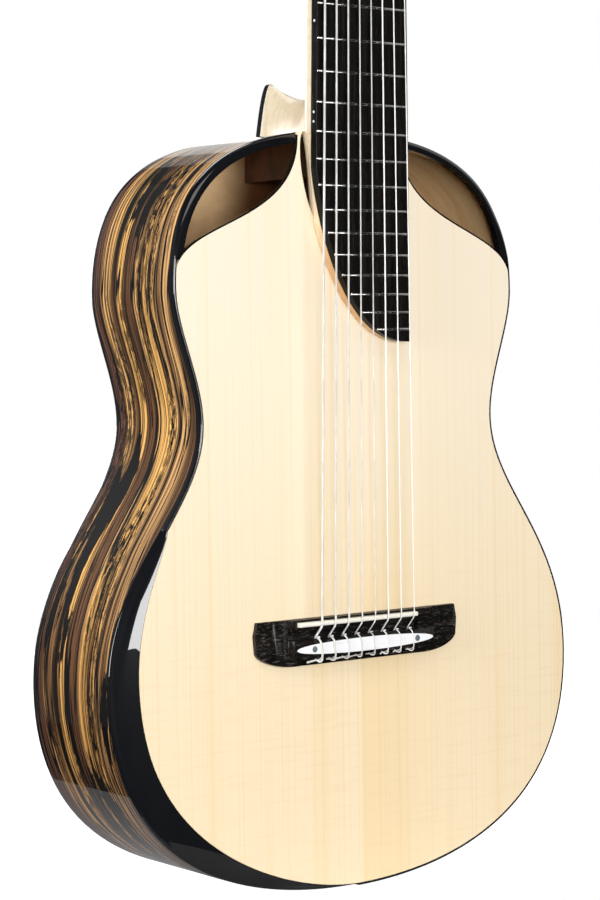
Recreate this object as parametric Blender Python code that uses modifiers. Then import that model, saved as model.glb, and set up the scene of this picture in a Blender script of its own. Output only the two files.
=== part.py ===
"""Eight-string classical guitar with a raised fingerboard, two corner sound ports and an arm bevel.

Frame: +Z runs up the neck, the soundboard faces -Y, the treble side is +X. The origin is the bottom end
of the body, on the centre line, halfway through the body's depth. Lengths are in metres.
Heights above the tail are called z, distances back from the soundboard's face are called depth.
"""

import math

import bmesh
import bpy
from mathutils import Matrix, Vector

# Clearances
GAP = 0.0003  # between pieces that touch on the real guitar
RUNNING = 0.0004  # round a turning shaft
PAST = 0.010  # how far a cutter runs past what it cuts
FAR = 0.300  # reach of a cutter that takes all that lies beyond a face

# Body
BODY_LENGTH = 0.508
LOWER_BOUT = 0.3874
WAIST = 0.2496
UPPER_BOUT = 0.289
LOWER_BOUT_AT = 0.2821 * BODY_LENGTH
WAIST_AT = 0.6209 * BODY_LENGTH
UPPER_BOUT_AT = 0.7927 * BODY_LENGTH
BODY_DEPTH = 0.0995
BACK_RISE = 0.0085  # how far the back comes forward at the heel
BACK_BREAK_AT = 0.5906 * BODY_LENGTH  # where the back starts to come forward
BACK_CURVE_STEPS = 8
OUTLINE_STEPS = 12  # points on each quarter of the outline

# Plates, sides, bindings and linings
TOP_THICKNESS = 0.0024
BACK_THICKNESS = 0.0028
SIDE_THICKNESS = 0.0024
BINDING_WIDTH = 0.0016
BINDING_DEPTH = 0.0058
BACK_BINDING_DEPTH = 0.0040
LINING_WIDTH = 0.0050
LINING_DEPTH = 0.0140
PORT_RIM_WIDTH = 0.0067
PORT_RIM_RADIUS = 0.0050  # rounding of the rim's outer corner
PORT_RIM_RUN_IN = 0.0400  # length over which the rounding grows at the rim's low end

# Sound ports, one on each shoulder: distance from the centre line and down from the body's upper end
PORT_LOW = (0.1429, 0.0913)
PORT_LOW_HANDLE = (0.1309, 0.0594)
PORT_HIGH_HANDLE = (0.0398, 0.0617)
PORT_HIGH_X = 0.0450

# Leaf slots beside the neck's extension, measured in the same way
SLOT_TOP = (0.0385, 0.0018)
SLOT_OUTER_HANDLES = ((0.0450, 0.0036), (0.0421, 0.0392))
SLOT_INNER_HANDLES = ((0.0345, 0.0135), (0.0345, 0.0340))
SLOT_TIP = (0.0315, 0.0575)
SLOT_FLARE_LENGTH = 0.0300  # over which the extension widens again below the treble slot

# Arm bevel, along the bass side from the tail's centre
BEVEL_LENGTH = 0.3880
BEVEL_PEAK_AT = 0.2000
BEVEL_WIDTH = 0.0210
BEVEL_DROP = 0.0110
BEVEL_DROP_AT = 0.3000
BEVEL_DROP_SPAN = 0.1050
BEVEL_EDGE = 0.0020  # upright edge at the bevel's foot

# Scale and strings
SCALE_LENGTH = 0.640
BODY_FRET = 12  # this fret lies at the body's edge
BODY_FRET_INSIDE = 0.0029  # how far inside the edge it lies
COMPENSATION = 0.0032
FRET_COUNT = 21
STRING_COUNT = 8
SADDLE_SPREAD = 0.0795
NUT_SPREAD = 0.0613
SADDLE_STRING_HEIGHT = 0.0140
NUT_STRING_LIFT = 0.0016  # string centre above the board at the nut
STRING_RADII = (0.00078, 0.00070, 0.00060, 0.00048, 0.00042, 0.00053, 0.00045, 0.00040)
STRING_RESOLUTION = 1
STRING_ON_ROLLER = (0.80, 0.62, 0.45, 0.52)  # share of the slot's width, from the outermost string in

# Fingerboard
BOARD_NUT_WIDTH = 0.0700
BOARD_BODY_WIDTH = 0.0785
BOARD_THICKNESS = 0.0060
BOARD_PAST_LAST_FRET = 0.0084
BOARD_END_HEIGHT = 0.0120  # its face above the soundboard, at the end
BOARD_TILT = math.radians(1.0)
BOARD_CURVE_START = 0.1150  # above the board's end, where the bass edge leaves the straight line
BOARD_CURVE_HANDLES = ((-0.0349, 0.0748), (-0.0107, -0.0020))
FRET_WIDTH = 0.0020
FRET_HEIGHT = 0.0010
FRET_END_INSET = 0.0002

# Neck and heel
NECK_THICKNESS = 0.0155  # wood below the board at the nut
NECK_THICKENING = 0.0020  # more of it at the heel
HEEL_CAP_THICKNESS = 0.0050
HEEL_CAP_WIDTH = 0.0206
HEEL_CAP_LENGTH = 0.0390
HEEL_WAIST_LENGTH = 0.0080  # pulls the ridge in between the cap and the shaft
HEEL_ROOT_WIDTH = 0.0690
HEEL_ROOT_LENGTH = 0.0600
HEEL_STEPS = 9

# Nut, headstock and tuning machines
NUT_LENGTH = 0.0050
HEAD_TILT = math.radians(13.0)
HEAD_LENGTH = 0.1950
HEAD_WIDTH = 0.0880
HEAD_FOOT_WIDTH = 0.0740
HEAD_THICKNESS = 0.0200
HEAD_FLARE_AT = 0.0160  # where the foot reaches its full width
HEAD_CREST = 0.0060  # rise of the crown's middle
VENEER_THICKNESS = 0.0025
HEAD_SLOT_WIDTH = 0.0220
HEAD_SPINE_WIDTH = 0.0190
FIRST_ROLLER_AT = 0.0480
ROLLER_PITCH = 0.0340
SLOT_MARGIN = 0.0190
RAMP_LENGTH = 0.0175  # string ramp in front of each slot
RAMP_DEPTH = 0.0062
RAMP_INSET = 0.0010
ROLLER_RADIUS = 0.0048
ROLLER_JOURNAL_RADIUS = 0.0036
ROLLER_DEPTH = 0.0085  # its axis behind the headstock's face
ROLLER_TIP = 0.0060  # how far it runs into the spine
PLATE_THICKNESS = 0.0014
PLATE_WIDTH = 0.0150
PLATE_MARGIN = 0.0150
GEAR_TEETH = 14
GEAR_RADIUS = 0.0062
GEAR_ROOT_RADIUS = 0.0050
GEAR_THICKNESS = 0.0030
WORM_RADIUS = 0.0030
WORM_LENGTH = 0.0080
WORM_SHAFT_RADIUS = 0.0015
WORM_LUG_THICKNESS = 0.0018
WORM_LUG_WIDTH = 0.0070
BUTTON_NECK = 0.0050  # shaft showing between the back lug and the button
BUTTON_LENGTH = 0.0150
BUTTON_WIDTH = 0.0170
BUTTON_THICKNESS = 0.0090

# Bridge
BRIDGE_WIDTH = 0.1740
BRIDGE_PAST_SADDLE = 0.0041  # from the saddle's middle to the upper edge
BRIDGE_LENGTH = 0.0318
BRIDGE_TIP_HEIGHT = 0.0032
BRIDGE_WING_HEIGHT = 0.0044
RIDGE_HEIGHT = 0.0090
TIE_BLOCK_HEIGHT = 0.0104
TIE_BLOCK_HALF_WIDTH = 0.0600
TIE_BLOCK_LENGTH = 0.0125
TIE_BLOCK_FOOT = 0.0048  # ledge behind the tie block
CHANNEL_LENGTH = 0.0060
CHANNEL_FLOOR = 0.0045
CHANNEL_BASS_X = -0.0620
CHANNEL_TREBLE_X = 0.0470
TIE_HOLE_HEIGHT = 0.0062
SADDLE_THICKNESS = 0.0030
SADDLE_BASS_X = -0.0590
SADDLE_TREBLE_X = 0.0443
SADDLE_SLOT_FLOOR = 0.0035
CAP_HALF_WIDTH = 0.0585
CAP_LENGTH = 0.0092
CAP_THICKNESS = 0.0010

# Blocks, braces and bars inside
NECK_BLOCK_WIDTH = 0.0420
NECK_BLOCK_LENGTH = 0.0300
TAIL_BLOCK_WIDTH = 0.0600
TAIL_BLOCK_LENGTH = 0.0150
BRACE_WIDTH = 0.0050
FAN_BRACE_HEIGHT = 0.0060
FAN_BRACE_COUNT = 5
FAN_BRACE_LENGTH = 0.1900
FAN_BELOW_BOUT = 0.0083  # from the lower bout's widest place down to the braces' middle
FAN_SPREAD = 0.0360
FAN_ANGLE = math.radians(5.0)
BACK_BRACE_HEIGHT = 0.0130
BACK_BRACE_SHARES = (0.2165, 0.4331, 0.6496)  # of the body's length
HARMONIC_BAR_BELOW_WAIST = 0.0074
HARMONIC_BAR_HEIGHT = 0.0150
NECK_BAR_ABOVE_BOUT = 0.0093
NECK_BAR_HEIGHT = 0.0120
BRIDGE_PATCH_WIDTH = 0.1500
BRIDGE_PATCH_LENGTH = 0.0380
BRIDGE_PATCH_THICKNESS = 0.0022

# Derived places
FACE_Y = -BODY_DEPTH / 2
BODY_FRET_AT = BODY_LENGTH - BODY_FRET_INSIDE
SCALE_ORIGIN = BODY_FRET_AT - SCALE_LENGTH * 2 ** (-BODY_FRET / 12)
NUT_AT = SCALE_ORIGIN + SCALE_LENGTH
SADDLE_AT = SCALE_ORIGIN - COMPENSATION
NECK_END_AT = NUT_AT + NUT_LENGTH + GAP
BOARD_END_AT = SCALE_ORIGIN + SCALE_LENGTH * 2 ** (-FRET_COUNT / 12) - BOARD_PAST_LAST_FRET
BOARD_CURVE_FROM = BOARD_END_AT + BOARD_CURVE_START
BRIDGE_TOP_AT = SADDLE_AT + BRIDGE_PAST_SADDLE
BRIDGE_MIDDLE_AT = BRIDGE_TOP_AT - BRIDGE_LENGTH / 2
WEDGE_LIFT = BOARD_END_HEIGHT - BOARD_THICKNESS  # underside of the board above the soundboard

# Local frames: where a flat drawing's x, y and thickness point
ON_FACE = Matrix(((1, 0, 0), (0, 0, -1), (0, 1, 0))).to_4x4()  # drawn in x and z, thick towards -Y
FROM_SIDE = Matrix(((0, 0, 1), (1, 0, 0), (0, 1, 0))).to_4x4()  # drawn in y and z, thick along X
FROM_ABOVE = Matrix(((1, 0, 0), (0, -1, 0), (0, 0, -1))).to_4x4()  # drawn in x and height, thick along Z


# Materials: colour, roughness and metallic value
FINISHES = {
    "spruce": ((0.86, 0.70, 0.47), 0.30, 0.0),
    "ziricote": ((0.20, 0.085, 0.035), 0.18, 0.0),
    "ebony": ((0.012, 0.011, 0.011), 0.28, 0.0),
    "maple": ((0.74, 0.55, 0.35), 0.35, 0.0),
    "cedar": ((0.42, 0.24, 0.12), 0.50, 0.0),
    "lining_wood": ((0.62, 0.44, 0.27), 0.60, 0.0),
    "block_wood": ((0.16, 0.07, 0.03), 0.55, 0.0),
    "bone": ((0.86, 0.82, 0.72), 0.30, 0.0),
    "nylon": ((0.82, 0.82, 0.80), 0.20, 0.0),
    "wound_wire": ((0.62, 0.60, 0.56), 0.30, 1.0),
    "brass": ((0.78, 0.58, 0.26), 0.25, 1.0),
    "steel": ((0.60, 0.60, 0.58), 0.25, 1.0),
    "pearl_button": ((0.80, 0.78, 0.72), 0.25, 0.0),
}


def material(name):
    """Return the named material, making it the first time."""
    found = bpy.data.materials.get(name)
    if found:
        return found
    colour, roughness, metallic = FINISHES[name]
    found = bpy.data.materials.new(name)
    found.use_nodes = True
    shader = found.node_tree.nodes["Principled BSDF"]
    shader.inputs["Base Color"].default_value = (*colour, 1.0)
    shader.inputs["Roughness"].default_value = roughness
    shader.inputs["Metallic"].default_value = metallic
    return found


def start_scene():
    """Empty the scene and make one collection for the parts and one for the cutters."""
    for obj in list(bpy.data.objects):
        bpy.data.objects.remove(obj, do_unlink=True)
    made = []
    for name in ("eight_string_guitar", "cutters"):
        group = bpy.data.collections.new(name)
        bpy.context.scene.collection.children.link(group)
        made.append(group)
    return made


PARTS, CUTTERS = start_scene()


def keep(obj, name, finish):
    """Name a finished piece, give it its material and put it with the parts."""
    obj.name = name
    obj.data.name = name
    obj.data.materials.clear()
    obj.data.materials.append(material(finish))
    for group in list(obj.users_collection):
        group.objects.unlink(obj)
    PARTS.objects.link(obj)
    obj.hide_render = False
    obj.display_type = "TEXTURED"
    return obj


def tool(obj):
    """Put a shape with the cutters, where it doesn't count as a piece."""
    for group in list(obj.users_collection):
        group.objects.unlink(obj)
    CUTTERS.objects.link(obj)
    obj.hide_render = True
    obj.display_type = "WIRE"
    return obj


def frozen(obj):
    """Turn an object into a plain mesh as its modifiers or its curve show it, with the caps welded on."""
    bpy.context.view_layer.update()
    graph = bpy.context.evaluated_depsgraph_get()
    mesh = bpy.data.meshes.new_from_object(obj.evaluated_get(graph))
    shape = bmesh.new()
    shape.from_mesh(mesh)
    bmesh.ops.remove_doubles(shape, verts=shape.verts, dist=1e-6)
    shape.to_mesh(mesh)
    shape.free()
    made = bpy.data.objects.new(obj.name, mesh)
    made.matrix_world = obj.matrix_world.copy()
    bpy.data.objects.remove(obj, do_unlink=True)
    return tool(made)


def moved(obj, matrix):
    """Place an object by a matrix."""
    obj.matrix_world = matrix
    return obj


def soften(obj, degrees=35.0):
    """Shade a round piece smooth, with its real edges sharp."""
    obj.data.shade_smooth()
    obj.data.set_sharp_from_angle(angle=math.radians(degrees))
    return obj


def boolean(target, other, operation):
    """Join, cut or trim a piece with another shape, which stays with the cutters."""
    change = target.modifiers.new(operation.lower(), "BOOLEAN")
    change.operation = operation
    change.solver = "EXACT"
    change.object = tool(other)
    return target


def cut(target, *others):
    for other in others:
        boolean(target, other, "DIFFERENCE")
    return target


def join(target, *others):
    for other in others:
        boolean(target, other, "UNION")
    return target


def trim(target, *others):
    for other in others:
        boolean(target, other, "INTERSECT")
    return target


# Drawing

def bezier(start, first, second, end, steps):
    """Points along a cubic curve, both ends included."""
    points = []
    for i in range(steps + 1):
        t = i / steps
        weights = ((1 - t) ** 3, 3 * (1 - t) ** 2 * t, 3 * (1 - t) * t * t, t**3)
        corners = (start, first, second, end)
        points.append(tuple(sum(w * c[k] for w, c in zip(weights, corners)) for k in (0, 1)))
    return points


def mirrored(points):
    """The same points on the other side of the centre line, in reverse order."""
    return [(-x, z) for x, z in reversed(points)]


def prism(name, loops, thickness, matrix):
    """A flat drawing with its holes, given a thickness centred on its plane."""
    curve = bpy.data.curves.new(name, "CURVE")
    curve.dimensions = "2D"
    curve.fill_mode = "BOTH"
    curve.extrude = thickness / 2
    for loop in loops:
        line = curve.splines.new("POLY")
        line.points.add(len(loop) - 1)
        for point, (x, y) in zip(line.points, loop):
            point.co = (x, y, 0.0, 1.0)
        line.use_cyclic_u = True
    obj = bpy.data.objects.new(name, curve)
    CUTTERS.objects.link(obj)
    return frozen(moved(obj, matrix))


def plate(name, loops, front, back):
    """A drawing in x and z, filled between two depths behind the soundboard's face."""
    middle = FACE_Y + (front + back) / 2
    return prism(name, loops, back - front, Matrix.Translation((0, middle, 0)) @ ON_FACE)


def profile_bar(name, loop, low_x, high_x):
    """A drawing in y and z, filled between two values of x."""
    place = Matrix.Translation(((low_x + high_x) / 2, 0, 0))
    return prism(name, [loop], high_x - low_x, place @ FROM_SIDE)


def box(name, low, high, matrix=None):
    """A box between two corners."""
    size = [b - a for a, b in zip(low, high)]
    centre = [(a + b) / 2 for a, b in zip(low, high)]
    shape = bmesh.new()
    bmesh.ops.create_cube(shape, size=1.0)
    bmesh.ops.scale(shape, vec=size, verts=shape.verts)
    bmesh.ops.translate(shape, vec=centre, verts=shape.verts)
    mesh = bpy.data.meshes.new(name)
    shape.to_mesh(mesh)
    shape.free()
    obj = bpy.data.objects.new(name, mesh)
    CUTTERS.objects.link(obj)
    return moved(obj, matrix or Matrix.Identity(4))


def rod(name, radius, start, end, sides, matrix=None):
    """A round bar from one point to another."""
    start, end = Vector(start), Vector(end)
    along = end - start
    shape = bmesh.new()
    bmesh.ops.create_cone(
        shape, cap_ends=True, segments=sides, radius1=radius, radius2=radius, depth=along.length
    )
    turn = Vector((0, 0, 1)).rotation_difference(along).to_matrix().to_4x4()
    bmesh.ops.transform(shape, matrix=Matrix.Translation((start + end) / 2) @ turn, verts=shape.verts)
    mesh = bpy.data.meshes.new(name)
    shape.to_mesh(mesh)
    shape.free()
    obj = bpy.data.objects.new(name, mesh)
    CUTTERS.objects.link(obj)
    return moved(obj, matrix or Matrix.Identity(4))


def loft(name, rings):
    """A solid through rings of points, each with as many points as the next, closed at both ends."""
    shape = bmesh.new()
    rows = [[shape.verts.new(point) for point in ring] for ring in rings]
    for row, following in zip(rows, rows[1:]):
        for i in range(len(row)):
            j = (i + 1) % len(row)
            shape.faces.new((row[i], row[j], following[j], following[i]))
    shape.faces.new(rows[0])
    shape.faces.new(rows[-1])
    bmesh.ops.recalc_face_normals(shape, faces=shape.faces)
    mesh = bpy.data.meshes.new(name)
    shape.to_mesh(mesh)
    shape.free()
    obj = bpy.data.objects.new(name, mesh)
    CUTTERS.objects.link(obj)
    return obj


# Body outline

def half_outline():
    """The treble half of the body's outline, from the tail's centre up to the neck."""
    low, waist, high = LOWER_BOUT / 2, WAIST / 2, UPPER_BOUT / 2
    rise, top = WAIST_AT - LOWER_BOUT_AT, BODY_LENGTH - UPPER_BOUT_AT
    step = UPPER_BOUT_AT - WAIST_AT
    parts = (
        ((0, 0), (0.396 * low, 0), (low, 0.159 * LOWER_BOUT_AT), (low, LOWER_BOUT_AT)),
        (
            (low, LOWER_BOUT_AT),
            (low, LOWER_BOUT_AT + 0.499 * rise),
            (waist, WAIST_AT - 0.311 * rise),
            (waist, WAIST_AT),
        ),
        (
            (waist, WAIST_AT),
            (waist, WAIST_AT + 0.338 * step),
            (high, UPPER_BOUT_AT - 0.307 * step),
            (high, UPPER_BOUT_AT),
        ),
        (
            (high, UPPER_BOUT_AT),
            (high, UPPER_BOUT_AT + 0.672 * top),
            (0.700 * high, BODY_LENGTH),
            (0, BODY_LENGTH),
        ),
    )
    points = [(0.0, 0.0)]
    for part in parts:
        points += bezier(*part, OUTLINE_STEPS)[1:]
    return points


def normals(points):
    """The direction pointing inwards at each point of a half outline."""
    found = []
    last = len(points) - 1
    for i in range(len(points)):
        ax, az = points[max(i - 1, 0)]
        bx, bz = points[min(i + 1, last)]
        length = math.hypot(bx - ax, bz - az)
        found.append((-(bz - az) / length, (bx - ax) / length))
    found[0], found[last] = (0.0, 1.0), (0.0, -1.0)
    return found


def offset(points, distance):
    """A half outline drawn again inside itself by this distance, its ends kept on the centre line."""
    return [
        (max(x + nx * distance, 0.0), z + nz * distance)
        for (x, z), (nx, nz) in zip(points, normals(points))
    ]


def whole(points):
    """A closed outline from its treble half."""
    return points + mirrored(points)[1:-1]


def travelled(points):
    """How far along the line each point lies."""
    run = [0.0]
    for (ax, az), (bx, bz) in zip(points, points[1:]):
        run.append(run[-1] + math.hypot(bx - ax, bz - az))
    return run


OUTLINE = half_outline()
OUTLINE_RUN = travelled(OUTLINE)
OUTLINE_NORMALS = normals(OUTLINE)
TOP_INSET = BINDING_WIDTH + GAP


def spot(distance):
    """The point this far along the half outline from the tail, and the direction inwards there."""
    i = 0
    while i < len(OUTLINE_RUN) - 2 and OUTLINE_RUN[i + 1] <= distance:
        i += 1
    share = (distance - OUTLINE_RUN[i]) / (OUTLINE_RUN[i + 1] - OUTLINE_RUN[i])

    def between(first, second):
        return tuple(a + (b - a) * share for a, b in zip(first, second))

    return between(*OUTLINE[i : i + 2]), between(*OUTLINE_NORMALS[i : i + 2])


def spots(low, high):
    """The ends of a stretch of the half outline and the points between them."""
    return [low] + [run for run in OUTLINE_RUN if low + GAP < run < high - GAP] + [high]


def stretch(outer, inner, low, high):
    """A strip between two insets along part of the half outline."""
    outside, inside = [], []
    for distance in spots(low, high):
        (x, z), (nx, nz) = spot(distance)
        outside.append((x + nx * outer, z + nz * outer))
        inside.append((x + nx * inner, z + nz * inner))
    return outside + inside[::-1]


def band(outer, inner, bottom_gap=0.0, top_gap=0.0):
    """A strip between two insets of the treble half outline, its ends held off the centre line."""
    def eased(points):
        last = len(points) - 1
        return [
            (max(x, bottom_gap if i < last / 2 else top_gap), z) for i, (x, z) in enumerate(points)
        ]

    return eased(offset(OUTLINE, outer)) + eased(offset(OUTLINE, inner))[::-1]


def run_at(test):
    """How far along the half outline the first point passes a test of x and z."""
    steps = 4000
    for i in range(steps + 1):
        distance = OUTLINE_RUN[-1] * i / steps
        if test(*spot(distance)[0]):
            return distance
    return OUTLINE_RUN[-1]


PORT_FROM = run_at(lambda x, z: z >= BODY_LENGTH - PORT_LOW[1])
PORT_TO = run_at(lambda x, z: z > UPPER_BOUT_AT and x <= PORT_HIGH_X)


# The back's curve

def back_depth(z):
    """Depth of the back's outer face at a height."""
    if z <= BACK_BREAK_AT:
        return BODY_DEPTH
    share = (z - BACK_BREAK_AT) / (BODY_LENGTH - BACK_BREAK_AT)
    return BODY_DEPTH - BACK_RISE * share**1.6


def beyond_back(name, inset, end):
    """A cutter from the back's outer face less an inset to a plane in front of it or behind it."""
    rise = BODY_LENGTH + 3 * PAST - BACK_BREAK_AT
    steps = range(1, BACK_CURVE_STEPS + 1)
    heights = [-2 * PAST, BACK_BREAK_AT] + [BACK_BREAK_AT + rise * i / BACK_CURVE_STEPS for i in steps]
    line = [(FACE_Y + back_depth(z) - inset, z) for z in heights]
    return profile_bar(name, line + [(end, heights[-1]), (end, heights[0])], -FAR, FAR)


def behind(inset):
    """A cutter for all that lies behind the back's outer face less an inset."""
    return beyond_back("behind_back", inset, FACE_Y + BODY_DEPTH + 5 * PAST)


def before_back(inset):
    """A cutter for all that lies in front of the back's outer face less an inset."""
    return beyond_back("before_back", inset, FACE_Y - PAST)


# Arm bevel

def bevel_width(distance):
    """Width of the bevel's inner edge, this far along the bass outline from the tail's centre."""
    if distance <= BEVEL_PEAK_AT:
        share = math.sin(math.pi / 2 * max(distance, 0.0) / BEVEL_PEAK_AT) ** 1.6
    else:
        fall = min((distance - BEVEL_PEAK_AT) / (BEVEL_LENGTH - BEVEL_PEAK_AT), 1.0)
        share = (1 - fall**1.6) ** 0.7
    return BINDING_WIDTH + (BEVEL_WIDTH - BINDING_WIDTH) * share


def bevel_drop(distance):
    """How far the bevel reaches down the side."""
    off = abs(distance - BEVEL_DROP_AT) / BEVEL_DROP_SPAN
    share = math.cos(math.pi / 2 * off) ** 2 if off < 1 else 0.0
    return BINDING_DEPTH + (BEVEL_DROP - BINDING_DEPTH) * share


def bevel_solid(name, grow):
    """The bevel's block along the bass side, grown by a clearance when it is used as a cutter."""
    rings = []
    places = spots(0.0, BEVEL_LENGTH + grow)
    for distance in places:
        (x, z), (nx, nz) = spot(distance)
        wide, drop = bevel_width(distance) + grow, bevel_drop(distance) + grow
        if grow:
            section = [(wide, -0.002), (-0.002, -0.002), (-0.002, drop), (wide, drop)]
        else:
            section = [
                (wide, 0.0),
                (0.62 * wide, 0.10 * drop),
                (0.26 * wide, 0.36 * drop),
                (0.0, drop - BEVEL_EDGE),
                (0.0, drop),
                (wide, drop),
            ]
        start = grow if distance == places[0] else 0.0
        if not grow:
            x = max(x, GAP / 2)
        rings.append([(-(x + nx * w) + start, FACE_Y + d, z + nz * w) for w, d in section])
    return loft(name, rings)


# Sound ports and slots

def from_top(points):
    """Points measured down from the body's upper end, placed by their height above the tail."""
    return [(x, BODY_LENGTH - down) for x, down in points]


def port_edge():
    """The soundboard's edge along the treble port, from the outline up to the neck."""
    return bezier(*from_top((PORT_LOW, PORT_LOW_HANDLE, PORT_HIGH_HANDLE, (PORT_HIGH_X, 0.0))), 14)


def port_cutter(name, side):
    """All of the soundboard's shoulder beyond the port's edge, on the side +1 or -1."""
    edge = port_edge()
    x, z = edge[0]
    loop = edge + [(PORT_HIGH_X, BODY_LENGTH + PAST), (UPPER_BOUT, BODY_LENGTH + PAST)]
    loop += [(UPPER_BOUT, z - 0.4 * PAST), (x + 0.15 * PAST, z - 0.4 * PAST)]
    return plate(name, [[(side * x, z) for x, z in loop]], -PAST, TOP_THICKNESS + PAST)


def slot_edge(handles):
    """One long edge of the leaf slot on the treble side, from its upper end down to its tip."""
    return bezier(*from_top((SLOT_TOP, *handles, SLOT_TIP)), 8)


def slot_loop(side):
    """The leaf slot's outline on one side of the neck's extension."""
    loop = slot_edge(SLOT_OUTER_HANDLES) + slot_edge(SLOT_INNER_HANDLES)[-2:0:-1]
    return [(side * x, z) for x, z in loop]


# Fingerboard drawing

def board_half_width(z):
    """Half the board's width at a height, from the nut's width and the width at the body."""
    grow = (BOARD_BODY_WIDTH - BOARD_NUT_WIDTH) / 2 / (NUT_AT - BODY_FRET_AT)
    return BOARD_NUT_WIDTH / 2 + grow * (NUT_AT - z)


def board_outline(inset=0.0):
    """The fingerboard seen from the front, drawn as distances up from its low end."""
    low = board_half_width(BOARD_END_AT) - inset
    turn = board_half_width(BOARD_CURVE_FROM) - inset
    first, second = BOARD_CURVE_HANDLES
    curve = bezier(
        (-turn, BOARD_CURVE_START),
        (first[0] + inset, first[1]),
        (second[0] + inset, second[1] + inset),
        (low, inset),
        14,
    )
    half, top = board_half_width(NUT_AT) - inset, NUT_AT - GAP - BOARD_END_AT
    return [(-half, top)] + curve + [(half, top)]


BOARD_FRAME = (
    Matrix.Translation((0, FACE_Y - WEDGE_LIFT, BOARD_END_AT))
    @ Matrix.Rotation(BOARD_TILT, 4, "X")
    @ ON_FACE
)


def board_height(z):
    """The board's face above the soundboard at a height."""
    return BOARD_END_HEIGHT + math.tan(BOARD_TILT) * (z - BOARD_END_AT)


def on_board(loops, low, high, name):
    """A drawing on the board's underside plane, filled between two heights above that plane."""
    return prism(name, loops, high - low, BOARD_FRAME @ Matrix.Translation((0, 0, (low + high) / 2)))


def fret_place(number):
    """How far up a fret lies, from the tail."""
    return SCALE_ORIGIN + SCALE_LENGTH * 2 ** (-number / 12)


def fingerboard():
    """The board with its frets, which follow its slanted low end."""
    board = on_board([board_outline()], 0.0, BOARD_THICKNESS, "fingerboard_blank")
    fret_ends = [board_outline(FRET_END_INSET)]
    trimmer = on_board(fret_ends, 0.5 * BOARD_THICKNESS, BOARD_THICKNESS + PAST, "fret_ends")
    tang = -0.8 * FRET_HEIGHT
    profile = [
        (-FRET_WIDTH / 2, tang),
        (-FRET_WIDTH / 2, 0.35 * FRET_HEIGHT),
        (-0.28 * FRET_WIDTH, FRET_HEIGHT),
        (0.28 * FRET_WIDTH, FRET_HEIGHT),
        (FRET_WIDTH / 2, 0.35 * FRET_HEIGHT),
        (FRET_WIDTH / 2, tang),
    ]
    wide = board_half_width(BOARD_END_AT) + PAST
    shape = bmesh.new()
    for number in range(1, FRET_COUNT + 1):
        up = fret_place(number) - BOARD_END_AT
        rings = [
            [shape.verts.new((x, up + along, BOARD_THICKNESS + lift)) for along, lift in profile]
            for x in (-wide, wide)
        ]
        for i in range(len(profile)):
            j = (i + 1) % len(profile)
            shape.faces.new((rings[0][i], rings[0][j], rings[1][j], rings[1][i]))
        shape.faces.new(rings[0])
        shape.faces.new(rings[1])
    bmesh.ops.recalc_face_normals(shape, faces=shape.faces)
    mesh = bpy.data.meshes.new("fret_wires")
    shape.to_mesh(mesh)
    shape.free()
    wires = bpy.data.objects.new("fret_wires", mesh)
    CUTTERS.objects.link(wires)
    trim(moved(wires, BOARD_FRAME), trimmer)
    return keep(join(board, wires), "fingerboard", "ebony")


# Neck

def wedge_outline():
    """The neck's extension under the board, waisted beside the leaf slots."""
    low = board_half_width(BOARD_END_AT) - GAP
    inner = [(x - GAP, z) for x, z in slot_edge(SLOT_INNER_HANDLES)]
    tip_x, tip_z = inner[-1]
    end_curve = [(x + GAP, z + BOARD_END_AT + GAP) for x, z in board_outline()[1:-1]]
    bass = [(-x, z) for x, z in inner] + [(x, z) for x, z in end_curve[:-1] if z < tip_z - 10 * GAP]
    foot = tip_z - SLOT_FLARE_LENGTH
    wide = board_half_width(foot) - GAP
    middle = tip_z - 0.4 * SLOT_FLARE_LENGTH
    treble = [(low, BOARD_END_AT + 2 * GAP)]
    treble += bezier((wide, foot), (wide, middle), (tip_x, middle), inner[-1], 5)
    treble += inner[::-1][1:]
    top = BODY_LENGTH + PAST
    return [(-inner[0][0], top)] + bass + treble + [(inner[0][0], top)]


def heel_rings():
    """Tongue-shaped slices of the heel, from its cap forward to the shaft."""
    cap_depth = heel_cap_depth() - GAP
    ridge = bezier(
        (cap_depth, HEEL_CAP_LENGTH - 0.001),
        (0.70 * cap_depth, HEEL_CAP_LENGTH - 0.014),
        (0.30 * cap_depth, HEEL_WAIST_LENGTH),
        (-0.005, HEEL_ROOT_LENGTH),
        HEEL_STEPS,
    )
    rings = []
    for depth, reach in ridge:
        share = (cap_depth - depth) / cap_depth
        half = (HEEL_CAP_WIDTH + (HEEL_ROOT_WIDTH - HEEL_CAP_WIDTH) * share**1.6) / 2
        rings.append([(x, FACE_Y + depth, z) for x, z in tongue(half, reach, share)])
    return rings


def tongue(half, reach, roundness):
    """A pointed tongue from inside the body's edge to its tip, rounder towards the shaft."""
    power = 1.8 + 0.6 * roundness
    shares = [math.sin(math.pi / 2 * i / 6) for i in range(-6, 7)]
    tip = [(half * share, BODY_LENGTH + reach * (1 - abs(share) ** power)) for share in shares]
    return [(-half, BODY_LENGTH - 0.02)] + tip + [(half, BODY_LENGTH - 0.02)]


def heel_cap_depth():
    """Depth of the heel cap's inner face."""
    return back_depth(BODY_LENGTH) - HEEL_CAP_THICKNESS


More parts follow.
